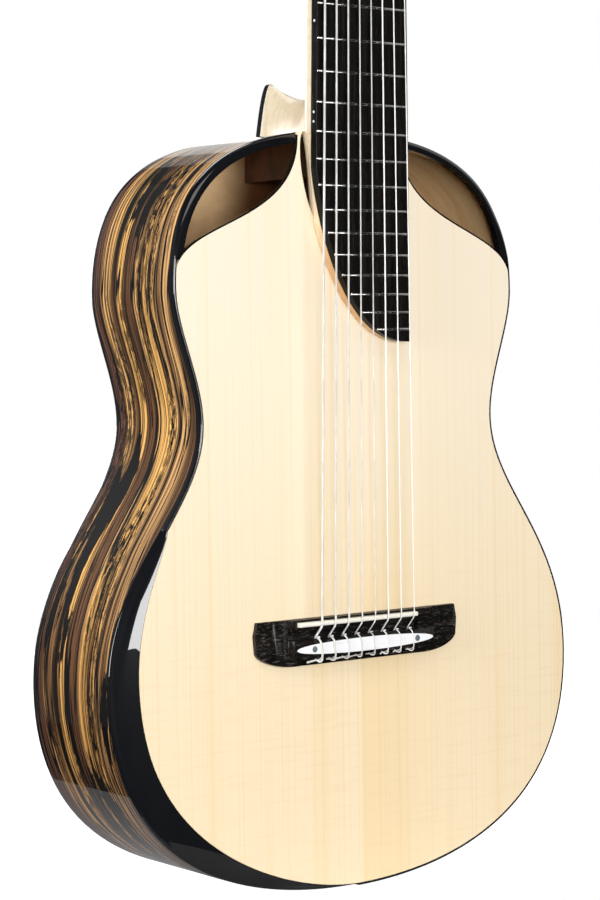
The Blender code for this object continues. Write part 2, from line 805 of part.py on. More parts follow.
def neck():
    """Shaft, heel and the raised extension under the board, in one piece of wood."""
    rings = []
    count = 12
    around = 14
    low, high = BODY_LENGTH - 0.004, NECK_END_AT
    for i in range(count + 1):
        z = low + (high - low) * i / count
        half = board_half_width(min(z, NUT_AT)) - 0.0001
        front = -(board_height(z) - BOARD_THICKNESS) + GAP
        thick = NECK_THICKNESS + NECK_THICKENING * (high - z) / (high - low)
        ring = []
        for k in range(around + 1):
            angle = math.pi * k / around
            wide = math.copysign(abs(math.cos(angle)) ** 0.80, math.cos(angle))
            ring.append((half * wide, FACE_Y + front + 0.003 + (thick - 0.003) * math.sin(angle) ** 0.85, z))
        ring += [(-half, FACE_Y + front, z), (half, FACE_Y + front, z)]
        rings.append(ring)
    shaft = loft("neck_shaft", rings)
    heel = loft("neck_heel", heel_rings())
    cut(heel, body_clearance())
    wedge = on_board(
        [[(x, z - BOARD_END_AT) for x, z in wedge_outline()]], -3 * PAST, -GAP, "neck_wedge"
    )
    low, high = (-FAR, FACE_Y - GAP, BOARD_END_AT - PAST), (FAR, FACE_Y + BODY_DEPTH, BODY_LENGTH + 3 * PAST)
    cut(wedge, box("soundboard_clearance", low, high))
    cut(shaft, body_clearance())
    wood = join(shaft, heel, wedge)
    return soften(keep(frozen(wood), "neck", "maple"), 30)


def body_clearance():
    """The body's outline with a gap round it, through its whole depth, from its soundboard's face back."""
    loop = whole(offset(OUTLINE, -GAP))
    return plate("body_clearance", [loop], -GAP, BODY_DEPTH + 5 * PAST)


def heel_cap():
    """The dark cap on the heel's end, in line with the back."""
    inner = heel_cap_depth()
    loop = tongue(HEEL_CAP_WIDTH / 2, HEEL_CAP_LENGTH, 0.0)
    cap = plate("heel_cap_blank", [loop], inner, inner + HEEL_CAP_THICKNESS)
    cut(cap, body_clearance())
    return keep(frozen(cap), "heel_cap", "ebony")


# Body pieces

def soundboard():
    """The top plate inside its bindings, cut away at the ports, the slots and the bevel."""
    loop = whole(offset(OUTLINE, TOP_INSET))
    top = plate("soundboard_blank", [loop], 0.0, TOP_THICKNESS)
    for side in (-1, 1):
        cut(top, port_cutter("port_cutter", side))
        cut(top, plate("slot_cutter", [slot_loop(side)], -PAST, TOP_THICKNESS + PAST))
    cut(top, bevel_solid("bevel_cutter", GAP))
    return keep(frozen(top), "soundboard", "spruce")


def back_plate():
    """The back, flat below and coming forward to the heel."""
    loop = whole(offset(OUTLINE, TOP_INSET))
    back = plate("back_blank", [loop], BODY_DEPTH - BACK_RISE - PAST, BODY_DEPTH + PAST)
    cut(back, behind(0.0))
    cut(back, before_back(BACK_THICKNESS))
    return keep(frozen(back), "back_plate", "ziricote")


def sides():
    """The two bent sides, parted on the centre line."""
    made = []
    for name, side in (("side_bass", -1), ("side_treble", 1)):
        loop = [(side * x, z) for x, z in band(0.0, SIDE_THICKNESS, GAP / 2, GAP / 2)]
        rib = plate(name + "_blank", [loop], BINDING_DEPTH + GAP, BODY_DEPTH + PAST)
        cut(rib, behind(BACK_BINDING_DEPTH + GAP))
        if side < 0:
            cut(rib, bevel_solid("bevel_cutter", GAP))
        made.append(keep(frozen(rib), name, "ziricote"))
    return made


def bindings():
    """Dark strips round the soundboard's and the back's edges, and the broad rims over the ports."""
    run_end = PORT_FROM - GAP
    for name, side, start in (
        ("top_binding_bass", -1, BEVEL_LENGTH + GAP),
        ("top_binding_treble", 1, GAP / 2),
    ):
        loop = [(side * x, z) for x, z in stretch(0.0, BINDING_WIDTH, start, run_end)]
        keep(plate(name, [loop], 0.0, BINDING_DEPTH), name, "ebony")
    for name, side in (("port_rim_bass", -1), ("port_rim_treble", 1)):
        rim = rim_solid(name + "_blank", side)
        clearance = plate(
            "soundboard_edge", [soundboard_side(side)], -PAST, TOP_THICKNESS + GAP
        )
        keep(frozen(cut(rim, clearance)), name, "ebony")
    outer = whole(OUTLINE)
    inner = whole(offset(OUTLINE, BINDING_WIDTH))
    strip = plate("back_binding_blank", [outer, inner], BODY_DEPTH - BACK_RISE - 2 * PAST, BODY_DEPTH + PAST)
    cut(strip, behind(0.0))
    cut(strip, before_back(BACK_BINDING_DEPTH))
    keep(frozen(strip), "back_binding", "ebony")
    keep(bevel_solid("arm_bevel", 0.0), "arm_bevel", "ebony")


def rim_solid(name, side):
    """The broad rim over a port, its outer corner rounded more and more from its low end up."""
    rings = []
    for distance in spots(PORT_FROM, PORT_TO):
        (x, z), (nx, nz) = spot(distance)
        radius = PORT_RIM_RADIUS * max(0.1, min(1.0, (distance - PORT_FROM) / PORT_RIM_RUN_IN))
        section = [(PORT_RIM_WIDTH, BINDING_DEPTH), (PORT_RIM_WIDTH, 0.0)]
        for i in range(5):
            angle = math.pi / 2 * i / 4
            section.append((radius * (1 - math.sin(angle)), radius * (1 - math.cos(angle))))
        section.append((0.0, BINDING_DEPTH))
        rings.append([(side * (x + nx * w), FACE_Y + d, z + nz * w) for w, d in section])
    return loft(name, rings)


def soundboard_side(side):
    """The soundboard's area beside a port, grown by a gap, to hold the port's rim off it."""
    edge = [(x + GAP, z + GAP) for x, z in port_edge()]
    low = edge[0][1] - 5 * PAST
    loop = edge + [(0.0, BODY_LENGTH + 2 * PAST), (0.0, low), (edge[0][0], low)]
    return [(side * x, z) for x, z in loop]


def linings():
    """Solid linings that stiffen the joints of the sides with the soundboard and with the back."""
    inset = SIDE_THICKNESS + GAP
    front = TOP_THICKNESS + GAP
    outer, inner = offset(OUTLINE, inset), offset(OUTLINE, inset + LINING_WIDTH)
    lower = [i for i, run in enumerate(OUTLINE_RUN) if run < PORT_FROM]
    top = plate("top_lining_blank", [lining_loop(outer, inner, lower)], front, front + LINING_DEPTH)
    cut(top, bevel_solid("bevel_cutter", GAP))
    keep(frozen(top), "top_lining", "lining_wood")
    block_half = NECK_BLOCK_WIDTH / 2 + GAP
    lower = [i for i, (x, z) in enumerate(OUTLINE) if z < UPPER_BOUT_AT or x > block_half]
    rear_from = BODY_DEPTH - LINING_DEPTH - 2 * PAST
    back = plate("back_lining_blank", [lining_loop(outer, inner, lower)], rear_from, BODY_DEPTH)
    cut(back, behind(BACK_THICKNESS + GAP))
    cut(back, before_back(BACK_THICKNESS + GAP + LINING_DEPTH))
    keep(frozen(back), "back_lining", "lining_wood")


def lining_loop(outer, inner, lower):
    """A horseshoe round the tail between two insets, as far up both sides as the listed points."""
    outside = [outer[i] for i in lower]
    inside = [inner[i] for i in lower]
    return (
        mirrored(outside)[:-1] + outside + inside[::-1][:-1] + [(-x, z) for x, z in inside]
    )


def blocks():
    """The neck block between the ports and the tail block at the bottom."""
    inner = whole(offset(OUTLINE, SIDE_THICKNESS + GAP))
    front = TOP_THICKNESS + GAP
    half = NECK_BLOCK_WIDTH / 2
    block = plate("neck_block_blank", [inner], front, BODY_DEPTH)
    low, high = (-half, -FAR, BODY_LENGTH - NECK_BLOCK_LENGTH), (half, FAR, BODY_LENGTH)
    trim(block, box("neck_block_room", low, high))
    cut(block, behind(BACK_THICKNESS + GAP))
    for side in (-1, 1):
        strip = stretch(-PAST, PORT_RIM_WIDTH + GAP, PORT_FROM, PORT_TO + 3 * GAP)
        rim = [(side * x, z) for x, z in strip]
        cut(block, plate("rim_clearance", [rim], -PAST, BINDING_DEPTH + GAP))
    keep(frozen(block), "neck_block", "block_wood")
    half = TAIL_BLOCK_WIDTH / 2
    front = TOP_THICKNESS + LINING_DEPTH + 2 * GAP
    rear = BODY_DEPTH - BACK_THICKNESS - LINING_DEPTH - 2 * GAP
    block = plate("tail_block_blank", [inner], front, rear)
    trim(block, box("tail_block_room", (-half, -FAR, -PAST), (half, FAR, TAIL_BLOCK_LENGTH)))
    keep(frozen(block), "tail_block", "cedar")


def brace(name, length, height, width, matrix, finish="lining_wood"):
    """A bar scooped down at both ends; drawn lengthwise, its foot on the plane at zero height."""
    scoop = min(0.030, 0.3 * length)
    low = 0.3 * height
    half = length / 2
    line = [(-half, 0.0), (-half, low)]
    middle, end = -half + scoop / 2, -half + scoop
    line += bezier((-half, low), (middle, low), (middle, height), (end, height), 4)[1:]
    line += [(-x, h) for x, h in line[::-1]]
    return keep(prism(name, [line], width, matrix), name, finish)


def room_inside(z, bar_width):
    """Half the length of a crosswise bar that fits between the linings at a height."""
    points = offset(OUTLINE, SIDE_THICKNESS + LINING_WIDTH + 2 * GAP)
    found = []
    for height in (z - bar_width / 2, z + bar_width / 2):
        for (ax, az), (bx, bz) in zip(points, points[1:]):
            if min(az, bz) <= height <= max(az, bz) and az != bz:
                found.append(ax + (bx - ax) * (height - az) / (bz - az))
                break
    return min(found) - 2 * GAP


def braces():
    """Fan braces, bars and patch under the soundboard, and bars across the back."""
    under_top = FACE_Y + TOP_THICKNESS + GAP
    for name, z, height in (
        ("harmonic_bar", WAIST_AT - HARMONIC_BAR_BELOW_WAIST, HARMONIC_BAR_HEIGHT),
        ("neck_bar", UPPER_BOUT_AT + NECK_BAR_ABOVE_BOUT, NECK_BAR_HEIGHT),
    ):
        width = 1.6 * BRACE_WIDTH
        place = Matrix.Translation((0, under_top, z))
        brace(name, 2 * room_inside(z, width), height, width, place)
    half = BRIDGE_PATCH_WIDTH / 2
    low, high = BRIDGE_MIDDLE_AT - BRIDGE_PATCH_LENGTH / 2, BRIDGE_MIDDLE_AT + BRIDGE_PATCH_LENGTH / 2
    patch_rear = under_top + BRIDGE_PATCH_THICKNESS
    keep(box("bridge_patch", (-half, under_top, low), (half, patch_rear, high)), "bridge_patch", "maple")
    lengthwise = Matrix(((0, 0, -1), (0, 1, 0), (1, 0, 0))).to_4x4()
    for i in range(FAN_BRACE_COUNT):
        step = i - (FAN_BRACE_COUNT - 1) / 2
        lean = Matrix.Rotation(-FAN_ANGLE * step, 4, "Y")
        centre = (FAN_SPREAD * step, under_top, LOWER_BOUT_AT - FAN_BELOW_BOUT)
        place = Matrix.Translation(centre) @ lean @ lengthwise
        name = f"fan_brace_{i + 1}"
        bar = brace(name, FAN_BRACE_LENGTH, FAN_BRACE_HEIGHT, BRACE_WIDTH, place)
        room_low = (-half - GAP, under_top - PAST, low - GAP)
        room_high = (half + GAP, patch_rear + GAP, high + GAP)
        cut(bar, box("patch_clearance", room_low, room_high))
    for i, share in enumerate(BACK_BRACE_SHARES):
        z = share * BODY_LENGTH
        rear = min(back_depth(z - BRACE_WIDTH), back_depth(z + BRACE_WIDTH)) - BACK_THICKNESS - GAP
        width = 1.4 * BRACE_WIDTH
        place = Matrix.Translation((0, FACE_Y + rear, z)) @ FROM_ABOVE
        brace(f"back_brace_{i + 1}", 2 * room_inside(z, width), BACK_BRACE_HEIGHT, width, place)


# Bridge

def string_x(number, spread):
    """A string's distance from the centre line; number 1 is the thinnest, on the treble side."""
    return spread / 2 - spread * (number - 1) / (STRING_COUNT - 1)


def bridge():
    """Wings, ridge with the saddle's slot, channel and bored tie block."""
    half, top, low = BRIDGE_WIDTH / 2, BRIDGE_TOP_AT, BRIDGE_TOP_AT - BRIDGE_LENGTH
    corner = 0.030
    right = [(half - 0.002, top - 0.001), (half, top - 0.010), (half - 0.001, low + 0.010)]
    start, first = (half - 0.002, low + 0.0085), (half - 0.006, low + 0.004)
    right += bezier(start, first, (half - 0.018, low), (half - corner, low), 4)
    outline = [(x, z) for x, z in right] + [(-x, z) for x, z in right[::-1]]
    blank = plate("bridge_blank", [outline], -TIE_BLOCK_HEIGHT - 0.002, -GAP)
    block, wing, tip = TIE_BLOCK_HALF_WIDTH, BRIDGE_WING_HEIGHT, BRIDGE_TIP_HEIGHT
    slope = bezier((half, tip), (half - 0.010, wing), (block + 0.012, wing), (block + 0.006, wing), 3)
    first, second, end = (block + 0.002, wing), (block, wing + 0.003), (block, TIE_BLOCK_HEIGHT)
    slope += bezier((block + 0.006, wing), first, second, end, 4)[1:]
    side_view = [(half + 0.01, -0.001), (half + 0.01, tip)] + slope
    side_view += [(-x, h) for x, h in side_view[::-1]]
    rise = prism(
        "bridge_rise",
        [side_view],
        2 * BRIDGE_LENGTH,
        Matrix.Translation((0, FACE_Y, (top + low) / 2)) @ FROM_ABOVE,
    )
    trim(blank, rise)
    tie_low = low + TIE_BLOCK_FOOT
    tie_high = tie_low + TIE_BLOCK_LENGTH
    ridge_low = tie_high + CHANNEL_LENGTH
    cut(
        blank,
        box("ridge_step", (-1, FACE_Y - 0.03, tie_high), (1, FACE_Y - RIDGE_HEIGHT, top + 0.01)),
        box("foot_step", (-1, FACE_Y - 0.03, low - 0.01), (1, FACE_Y - CHANNEL_FLOOR, tie_low)),
        box(
            "channel",
            (CHANNEL_BASS_X, FACE_Y - 0.03, tie_high),
            (CHANNEL_TREBLE_X, FACE_Y - CHANNEL_FLOOR, ridge_low),
        ),
        box(
            "saddle_slot",
            (SADDLE_BASS_X - GAP, FACE_Y - 0.03, SADDLE_AT - SADDLE_THICKNESS / 2 - GAP),
            (SADDLE_TREBLE_X + GAP, FACE_Y - SADDLE_SLOT_FLOOR, SADDLE_AT + SADDLE_THICKNESS / 2 + GAP),
        ),
    )
    for number in range(1, STRING_COUNT + 1):
        x = string_x(number, SADDLE_SPREAD)
        y = FACE_Y - TIE_HOLE_HEIGHT
        hole = STRING_RADII[STRING_COUNT - number] + 1.5 * GAP
        cut(blank, rod("tie_hole", hole, (x, y, low - 0.002), (x, y, tie_high + 0.002), 10))
    keep(frozen(blank), "bridge", "ebony")
    saddle_top = SADDLE_STRING_HEIGHT - max(STRING_RADII) - GAP
    keep(
        box(
            "saddle",
            (SADDLE_BASS_X, FACE_Y - saddle_top, SADDLE_AT - SADDLE_THICKNESS / 2),
            (SADDLE_TREBLE_X, FACE_Y - SADDLE_SLOT_FLOOR - GAP, SADDLE_AT + SADDLE_THICKNESS / 2),
        ),
        "saddle",
        "bone",
    )
    middle = (tie_low + tie_high) / 2
    arc = [
        (
            -CAP_HALF_WIDTH * math.cos(math.pi * i / 20),
            middle + CAP_LENGTH / 2 * math.sin(math.pi * i / 20) ** 0.9,
        )
        for i in range(21)
    ]
    loop = arc + [(x, 2 * middle - z) for x, z in arc[::-1][1:-1]]
    front = -TIE_BLOCK_HEIGHT - GAP
    keep(plate("tie_block_cap", [loop], front - CAP_THICKNESS, front), "tie_block_cap", "bone")
    return tie_low, tie_high


# Headstock frame: x across, y up its face, z out of its front

HEAD_FOOT = Matrix.Translation(
    (0, FACE_Y - (board_height(NECK_END_AT) - BOARD_THICKNESS), NECK_END_AT)
)
HEAD_FRAME = HEAD_FOOT @ Matrix.Rotation(-HEAD_TILT, 4, "X") @ ON_FACE


def head_point(x, up, out):
    """World place of a point given on the headstock."""
    return HEAD_FRAME @ Vector((x, up, out))


def on_head(name, loops, low, high):
    """A drawing on the headstock's face, filled between two distances out from it."""
    return prism(name, loops, high - low, HEAD_FRAME @ Matrix.Translation((0, 0, (low + high) / 2)))


def head_outline():
    """Straight cheeks from a narrower foot to a softly crested crown."""
    foot, half, length = HEAD_FOOT_WIDTH / 2, HEAD_WIDTH / 2, HEAD_LENGTH
    side = [(foot, -0.010), (foot, 0.002)]
    side += bezier((foot, 0.002), (foot, 0.009), (half, 0.008), (half, HEAD_FLARE_AT), 4)[1:]
    side += [(half, length - 0.012)]
    corner = (half - 0.014, length - 0.001)
    side += bezier((half, length - 0.012), (half, length), (half - 0.006, length), corner, 4)[1:]
    crest = length + HEAD_CREST
    side += bezier(corner, (0.014, length - 0.003), (0.010, crest), (0, crest), 5)[1:]
    return side + mirrored(side)[1:]


def head_slots():
    """Two long openings with round ends, one on each side of the spine."""
    low = FIRST_ROLLER_AT - SLOT_MARGIN
    high = FIRST_ROLLER_AT + ROLLER_PITCH * (STRING_COUNT // 2 - 1) + SLOT_MARGIN * 0.8
    radius = HEAD_SLOT_WIDTH / 2
    middle = HEAD_SPINE_WIDTH / 2 + radius
    loops = []
    for side in (-1, 1):
        arc = [math.pi * i / 8 for i in range(9)]
        top = [(middle + radius * math.cos(a), high - radius + radius * math.sin(a)) for a in arc]
        bottom = [(middle - radius * math.cos(a), low + radius - radius * math.sin(a)) for a in arc]
        loops.append([(side * x, y) for x, y in top + bottom])
    return loops


def string_ramp(side):
    """A cutter for the ramp that lets the nearest strings run down into a slot."""
    low = FIRST_ROLLER_AT - SLOT_MARGIN
    radius = HEAD_SLOT_WIDTH / 2
    top = VENEER_THICKNESS + 2 * GAP
    line = [(low - RAMP_LENGTH, top), (low + radius, -RAMP_DEPTH), (low + radius, top)]
    place = HEAD_FRAME @ Matrix.Translation((side * (HEAD_SPINE_WIDTH / 2 + radius), 0, 0))
    return prism("string_ramp", [line], HEAD_SLOT_WIDTH - 2 * RAMP_INSET, place @ FROM_SIDE)


def outer_order(number):
    """0 for the outermost string of its side, which goes to the nearest roller, and so on inwards."""
    return min(number - 1, STRING_COUNT - number)


def roller_places():
    """Side and distance up the headstock of each tuning machine; string 1 starts on the treble side."""
    half = STRING_COUNT // 2
    places = {}
    for number in range(1, STRING_COUNT + 1):
        treble = number <= half
        step = outer_order(number)
        places[number] = (1 if treble else -1, FIRST_ROLLER_AT + ROLLER_PITCH * step)
    return places


def headstock():
    """The slotted headstock and its veneer, cut off square where they meet the neck and the nut."""
    low_cut = box(
        "head_foot_cut", (-0.1, -0.2, NECK_END_AT - 0.1), (0.1, 0.2, NECK_END_AT + GAP)
    )
    for name, low, high, finish in (
        ("headstock", -HEAD_THICKNESS, 0.0, "maple"),
        ("headstock_veneer", GAP, VENEER_THICKNESS + GAP, "ebony"),
    ):
        wood = on_head(name + "_blank", [head_outline()] + head_slots(), low, high)
        cut(wood, low_cut, string_ramp(-1), string_ramp(1))
        if name == "headstock":
            for side, up in roller_places().values():
                outer = side * (HEAD_WIDTH / 2 + 0.01)
                inner = side * (HEAD_SPINE_WIDTH / 2 - ROLLER_TIP - RUNNING)
                start, end = head_point(outer, up, -ROLLER_DEPTH), head_point(inner, up, -ROLLER_DEPTH)
                radius = (ROLLER_JOURNAL_RADIUS + RUNNING) / math.cos(math.pi / 12)
                cut(wood, rod("roller_bore", radius, start, end, 12))
        keep(frozen(wood), name, finish)


def gear_outline(radius, root, teeth):
    """A spur gear with straight-sided teeth."""
    points = []
    step = 2 * math.pi / teeth
    for i in range(teeth):
        for share, reach in ((-0.30, root), (-0.14, radius), (0.14, radius), (0.30, root)):
            angle = step * (i + share)
            points.append((reach * math.cos(angle), reach * math.sin(angle)))
    return points


def tuning_machines():
    """Plates with their lugs, and for each string a geared roller and a worm with its button."""
    cheek = HEAD_WIDTH / 2
    plate_in, plate_out = cheek + GAP, cheek + GAP + PLATE_THICKNESS
    gear_middle = plate_out + WORM_RADIUS + GAP
    gear_in = gear_middle - GEAR_THICKNESS / 2
    worm_offset = GEAR_RADIUS + WORM_RADIUS + GAP
    lug_at = WORM_LENGTH / 2 + GAP
    last = FIRST_ROLLER_AT + ROLLER_PITCH * (STRING_COUNT // 2 - 1)
    lug_reach = WORM_LUG_WIDTH / 2
    for name, side in (("tuner_plate_bass", -1), ("tuner_plate_treble", 1)):
        mid = side * (plate_in + plate_out) / 2
        low, high = FIRST_ROLLER_AT - PLATE_MARGIN, last + PLATE_MARGIN
        front, rear = -ROLLER_DEPTH + PLATE_WIDTH / 2, -ROLLER_DEPTH - PLATE_WIDTH / 2
        metal = box(
            name,
            (min(side * plate_in, side * plate_out), low, rear),
            (max(side * plate_in, side * plate_out), high, front),
            HEAD_FRAME,
        )
        for place_side, up in roller_places().values():
            if place_side != side:
                continue
            centre = up - worm_offset
            for lug in (1, -1):
                near = -ROLLER_DEPTH + lug * lug_at
                far = near + lug * WORM_LUG_THICKNESS
                outer = side * (gear_middle + WORM_SHAFT_RADIUS + 0.0016)
                inner = side * (plate_in + PLATE_THICKNESS / 2)
                join(
                    metal,
                    box(
                        "lug",
                        (min(inner, outer), centre - lug_reach, min(near, far)),
                        (max(inner, outer), centre + lug_reach, max(near, far)),
                        HEAD_FRAME,
                    ),
                )
            bore = (WORM_SHAFT_RADIUS + RUNNING) / math.cos(math.pi / 8)
            x = side * gear_middle
            start = head_point(x, centre, -ROLLER_DEPTH + lug_at + WORM_LUG_THICKNESS + 0.01)
            end = head_point(x, centre, -ROLLER_DEPTH - lug_at - WORM_LUG_THICKNESS - 0.01)
            cut(metal, rod("worm_bore", bore, start, end, 8))
            journal = (ROLLER_JOURNAL_RADIUS + RUNNING) / math.cos(math.pi / 12)
            start, end = (head_point(side * (cheek + d), up, -ROLLER_DEPTH) for d in (-0.01, 0.02))
            cut(metal, rod("journal_bore", journal, start, end, 12))
        keep(frozen(metal), name, "brass")
    for number, (side, up) in roller_places().items():
        roller(number, side, up, gear_in, gear_middle)
        button(number, side, up - worm_offset, gear_middle, lug_at)


def roller(number, side, up, gear_in, gear_middle):
    """A string roller: spine tip, barrel in the slot, journal through the cheek, gear and screw."""
    start = HEAD_SPINE_WIDTH / 2 - ROLLER_TIP
    slot_in = HEAD_SPINE_WIDTH / 2 + GAP
    slot_out = HEAD_SPINE_WIDTH / 2 + HEAD_SLOT_WIDTH - GAP
    gear_out = gear_in + GEAR_THICKNESS
    journal, barrel = ROLLER_JOURNAL_RADIUS, ROLLER_RADIUS
    profile = [
        (0.0, gear_out + 0.0012),
        (0.0018, gear_out + 0.0012),
        (0.0024, gear_out + 0.0006),
        (0.0024, gear_out - 0.0002),
        (journal, gear_out - 0.0002),
        (journal, slot_out),
        (barrel, slot_out),
        (barrel, slot_in),
        (journal, slot_in),
        (journal, start),
        (0.0, start),
    ]
    shape = turned("roller_blank", profile, 12)
    along = Matrix(((0, 0, side), (side, 0, 0), (0, 1, 0))).to_4x4()
    place = HEAD_FRAME @ Matrix.Translation((0, up, -ROLLER_DEPTH)) @ along
    moved(shape, place)
    wheel = prism(
        "gear_blank",
        [gear_outline(GEAR_RADIUS, GEAR_ROOT_RADIUS, GEAR_TEETH)],
        GEAR_THICKNESS,
        place @ Matrix.Translation((0, 0, gear_middle)),
    )
    join(shape, wheel)
    keep(soften(rooted(frozen(shape), place)), f"tuner_roller_{number}", "brass")


def button(number, side, up, gear_middle, lug_at):
    """A worm on its shaft, with the oval button behind the headstock."""
    worm = WORM_LENGTH / 2
    front = lug_at + WORM_LUG_THICKNESS + 0.0008
    rear = HEAD_THICKNESS - ROLLER_DEPTH + BUTTON_NECK
    shaft, groove = WORM_SHAFT_RADIUS, 0.72 * WORM_RADIUS
    profile = [(0.0, front), (shaft, front), (shaft, worm)]
    turns = 3
    for i in range(turns):
        high = worm - 2 * worm * i / turns
        step = 2 * worm / turns
        profile += [(groove, high), (WORM_RADIUS, high - 0.3 * step), (WORM_RADIUS, high - 0.7 * step)]
    profile += [(groove, -worm), (shaft, -worm), (shaft, -rear - 0.002), (0.0, -rear - 0.002)]
    shape = turned("worm_blank", profile, 10)
    place = HEAD_FRAME @ Matrix.Translation((side * gear_middle, up, -ROLLER_DEPTH))
    moved(shape, place)
    grip = bmesh.new()
    bmesh.ops.create_uvsphere(grip, u_segments=12, v_segments=8, radius=1.0)
    for vert in grip.verts:
        co = vert.co
        taper = 1.0 + 0.25 * -co.z
        vert.co = Vector(
            (
                co.x * BUTTON_THICKNESS / 2 * taper,
                co.y * BUTTON_WIDTH / 2 * taper,
                co.z * BUTTON_LENGTH / 2 - rear - BUTTON_LENGTH / 2,
            )
        )
    mesh = bpy.data.meshes.new("button_grip")
    grip.to_mesh(mesh)
    grip.free()
    knob = bpy.data.objects.new("button_grip", mesh)
    CUTTERS.objects.link(knob)
    join(shape, moved(knob, place))
    keep(soften(rooted(frozen(shape), place)), f"tuner_button_{number}", "pearl_button")


def turned(name, profile, steps):
    """A profile of radius and height turned about the local z axis."""
    mesh = bpy.data.meshes.new(name)
    points = [(radius, 0.0, height) for radius, height in profile]
    edges = [(i, i + 1) for i in range(len(points) - 1)]
    mesh.from_pydata(points, edges, [])
    obj = bpy.data.objects.new(name, mesh)
    CUTTERS.objects.link(obj)
    screw = obj.modifiers.new("turn", "SCREW")
    screw.axis = "Z"
    screw.angle = 2 * math.pi
    screw.steps = screw.render_steps = steps
    screw.use_merge_vertices = True
    screw.merge_threshold = 0.00001
    return frozen(obj)


def rooted(obj, place):
    """Give a turning piece its origin on its joint's axis."""
    inverse = place.inverted() @ obj.matrix_world
    obj.data.transform(inverse)
    obj.matrix_world = place
    return obj


# Strings and nut

def nut():
    """The bone nut at the board's upper end."""
    low, high = NUT_AT, NUT_AT + NUT_LENGTH
    height = board_height(NUT_AT) + NUT_STRING_LIFT - max(STRING_RADII) - GAP
    foot = board_height(NUT_AT + NUT_LENGTH) - BOARD_THICKNESS + GAP
    half = BOARD_NUT_WIDTH / 2
    keep(box("nut", (-half, FACE_Y - height, low), (half, FACE_Y - foot, high)), "nut", "bone")


def strings(tie_low, tie_high):
    """Each string from its loop round the tie block, over the saddle and the nut, to its roller."""
    block_top = TIE_BLOCK_HEIGHT + CAP_THICKNESS + GAP
    for number, (side, up) in roller_places().items():
        radius = STRING_RADII[STRING_COUNT - number]
        clear = radius + 1.5 * GAP
        x = string_x(number, SADDLE_SPREAD)
        nut_x = string_x(number, NUT_SPREAD)
        nut_height = board_height(NUT_AT) + NUT_STRING_LIFT
        over = block_top + clear
        loop_z = tie_low - clear
        route = [
            (x, over - 0.0022, tie_high + clear + 0.0004),
            (x, over - 0.0004, tie_high + 0.2 * clear),
            (x, over, tie_high - 0.0015),
            (x, over, tie_low + 0.0015),
            (x, over - 0.0006, tie_low - 0.6 * clear),
            (x, over - 0.0028, loop_z - 0.0006),
            (x, TIE_HOLE_HEIGHT + 0.0014, loop_z - 0.0004),
            (x, TIE_HOLE_HEIGHT, tie_low - 0.0001),
            (x, TIE_HOLE_HEIGHT, tie_high + 0.0012),
            (x, SADDLE_STRING_HEIGHT - GAP, SADDLE_AT - SADDLE_THICKNESS / 2 - 2 * GAP),
            (x, SADDLE_STRING_HEIGHT, SADDLE_AT),
            (nut_x, nut_height, NUT_AT),
            (nut_x, nut_height, NUT_AT + NUT_LENGTH * 0.9),
        ]
        points = [Vector((px, FACE_Y - height, pz)) for px, height, pz in route]
        share = STRING_ON_ROLLER[outer_order(number)]
        roller_x = side * (HEAD_SPINE_WIDTH / 2 + HEAD_SLOT_WIDTH * share)
        points.append(head_point(roller_x, up - 0.0015, -ROLLER_DEPTH + ROLLER_RADIUS + clear))
        string_tube(f"string_{number}", radius, points, "nylon" if number <= 3 else "wound_wire")


def string_tube(name, radius, points, finish):
    """A tube along a line of points."""
    curve = bpy.data.curves.new(name, "CURVE")
    curve.dimensions = "3D"
    curve.bevel_depth = radius
    curve.bevel_resolution = STRING_RESOLUTION
    curve.use_fill_caps = True
    line = curve.splines.new("POLY")
    line.points.add(len(points) - 1)
    for point, place in zip(line.points, points):
        point.co = (*place, 1.0)
    obj = bpy.data.objects.new(name, curve)
    CUTTERS.objects.link(obj)
    keep(soften(frozen(obj), 50), name, finish)


def main():
    soundboard()
    back_plate()
    sides()
    bindings()
    linings()
    blocks()
    braces()
    fingerboard()
    neck()
    heel_cap()
    tie_low, tie_high = bridge()
    nut()
    headstock()
    tuning_machines()
    strings(tie_low, tie_high)


main()
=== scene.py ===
"""Looks of an eight-string classical guitar, built round the part's own frame.

+Z runs up the neck, the soundboard faces -Y and +X is the treble side. Lengths are in metres. A drawing
on the body is given as x and z, and depth is measured back from the soundboard's face.
"""
import logging
import math
from collections.abc import Callable, Sequence
from dataclasses import dataclass, field
from enum import Enum
from typing import Any

import bmesh
import bpy
from mathutils import Matrix, Quaternion, Vector


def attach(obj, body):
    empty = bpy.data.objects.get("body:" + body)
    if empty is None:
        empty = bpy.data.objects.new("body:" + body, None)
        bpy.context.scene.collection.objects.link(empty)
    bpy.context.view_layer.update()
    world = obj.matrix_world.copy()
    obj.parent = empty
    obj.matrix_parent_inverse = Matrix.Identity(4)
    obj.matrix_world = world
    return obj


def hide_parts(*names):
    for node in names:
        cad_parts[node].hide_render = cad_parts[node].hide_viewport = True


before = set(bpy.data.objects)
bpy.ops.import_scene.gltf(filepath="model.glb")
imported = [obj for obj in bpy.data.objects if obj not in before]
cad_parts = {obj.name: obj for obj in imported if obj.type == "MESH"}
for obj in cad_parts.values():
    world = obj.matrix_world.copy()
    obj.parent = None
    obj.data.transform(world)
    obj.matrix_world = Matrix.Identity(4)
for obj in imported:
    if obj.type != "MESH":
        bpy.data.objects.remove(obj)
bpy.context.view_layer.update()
LOG = logging.getLogger("guitar")

Point = tuple[float, float]
Colour = tuple[float, float, float]
Piece = bpy.types.Object

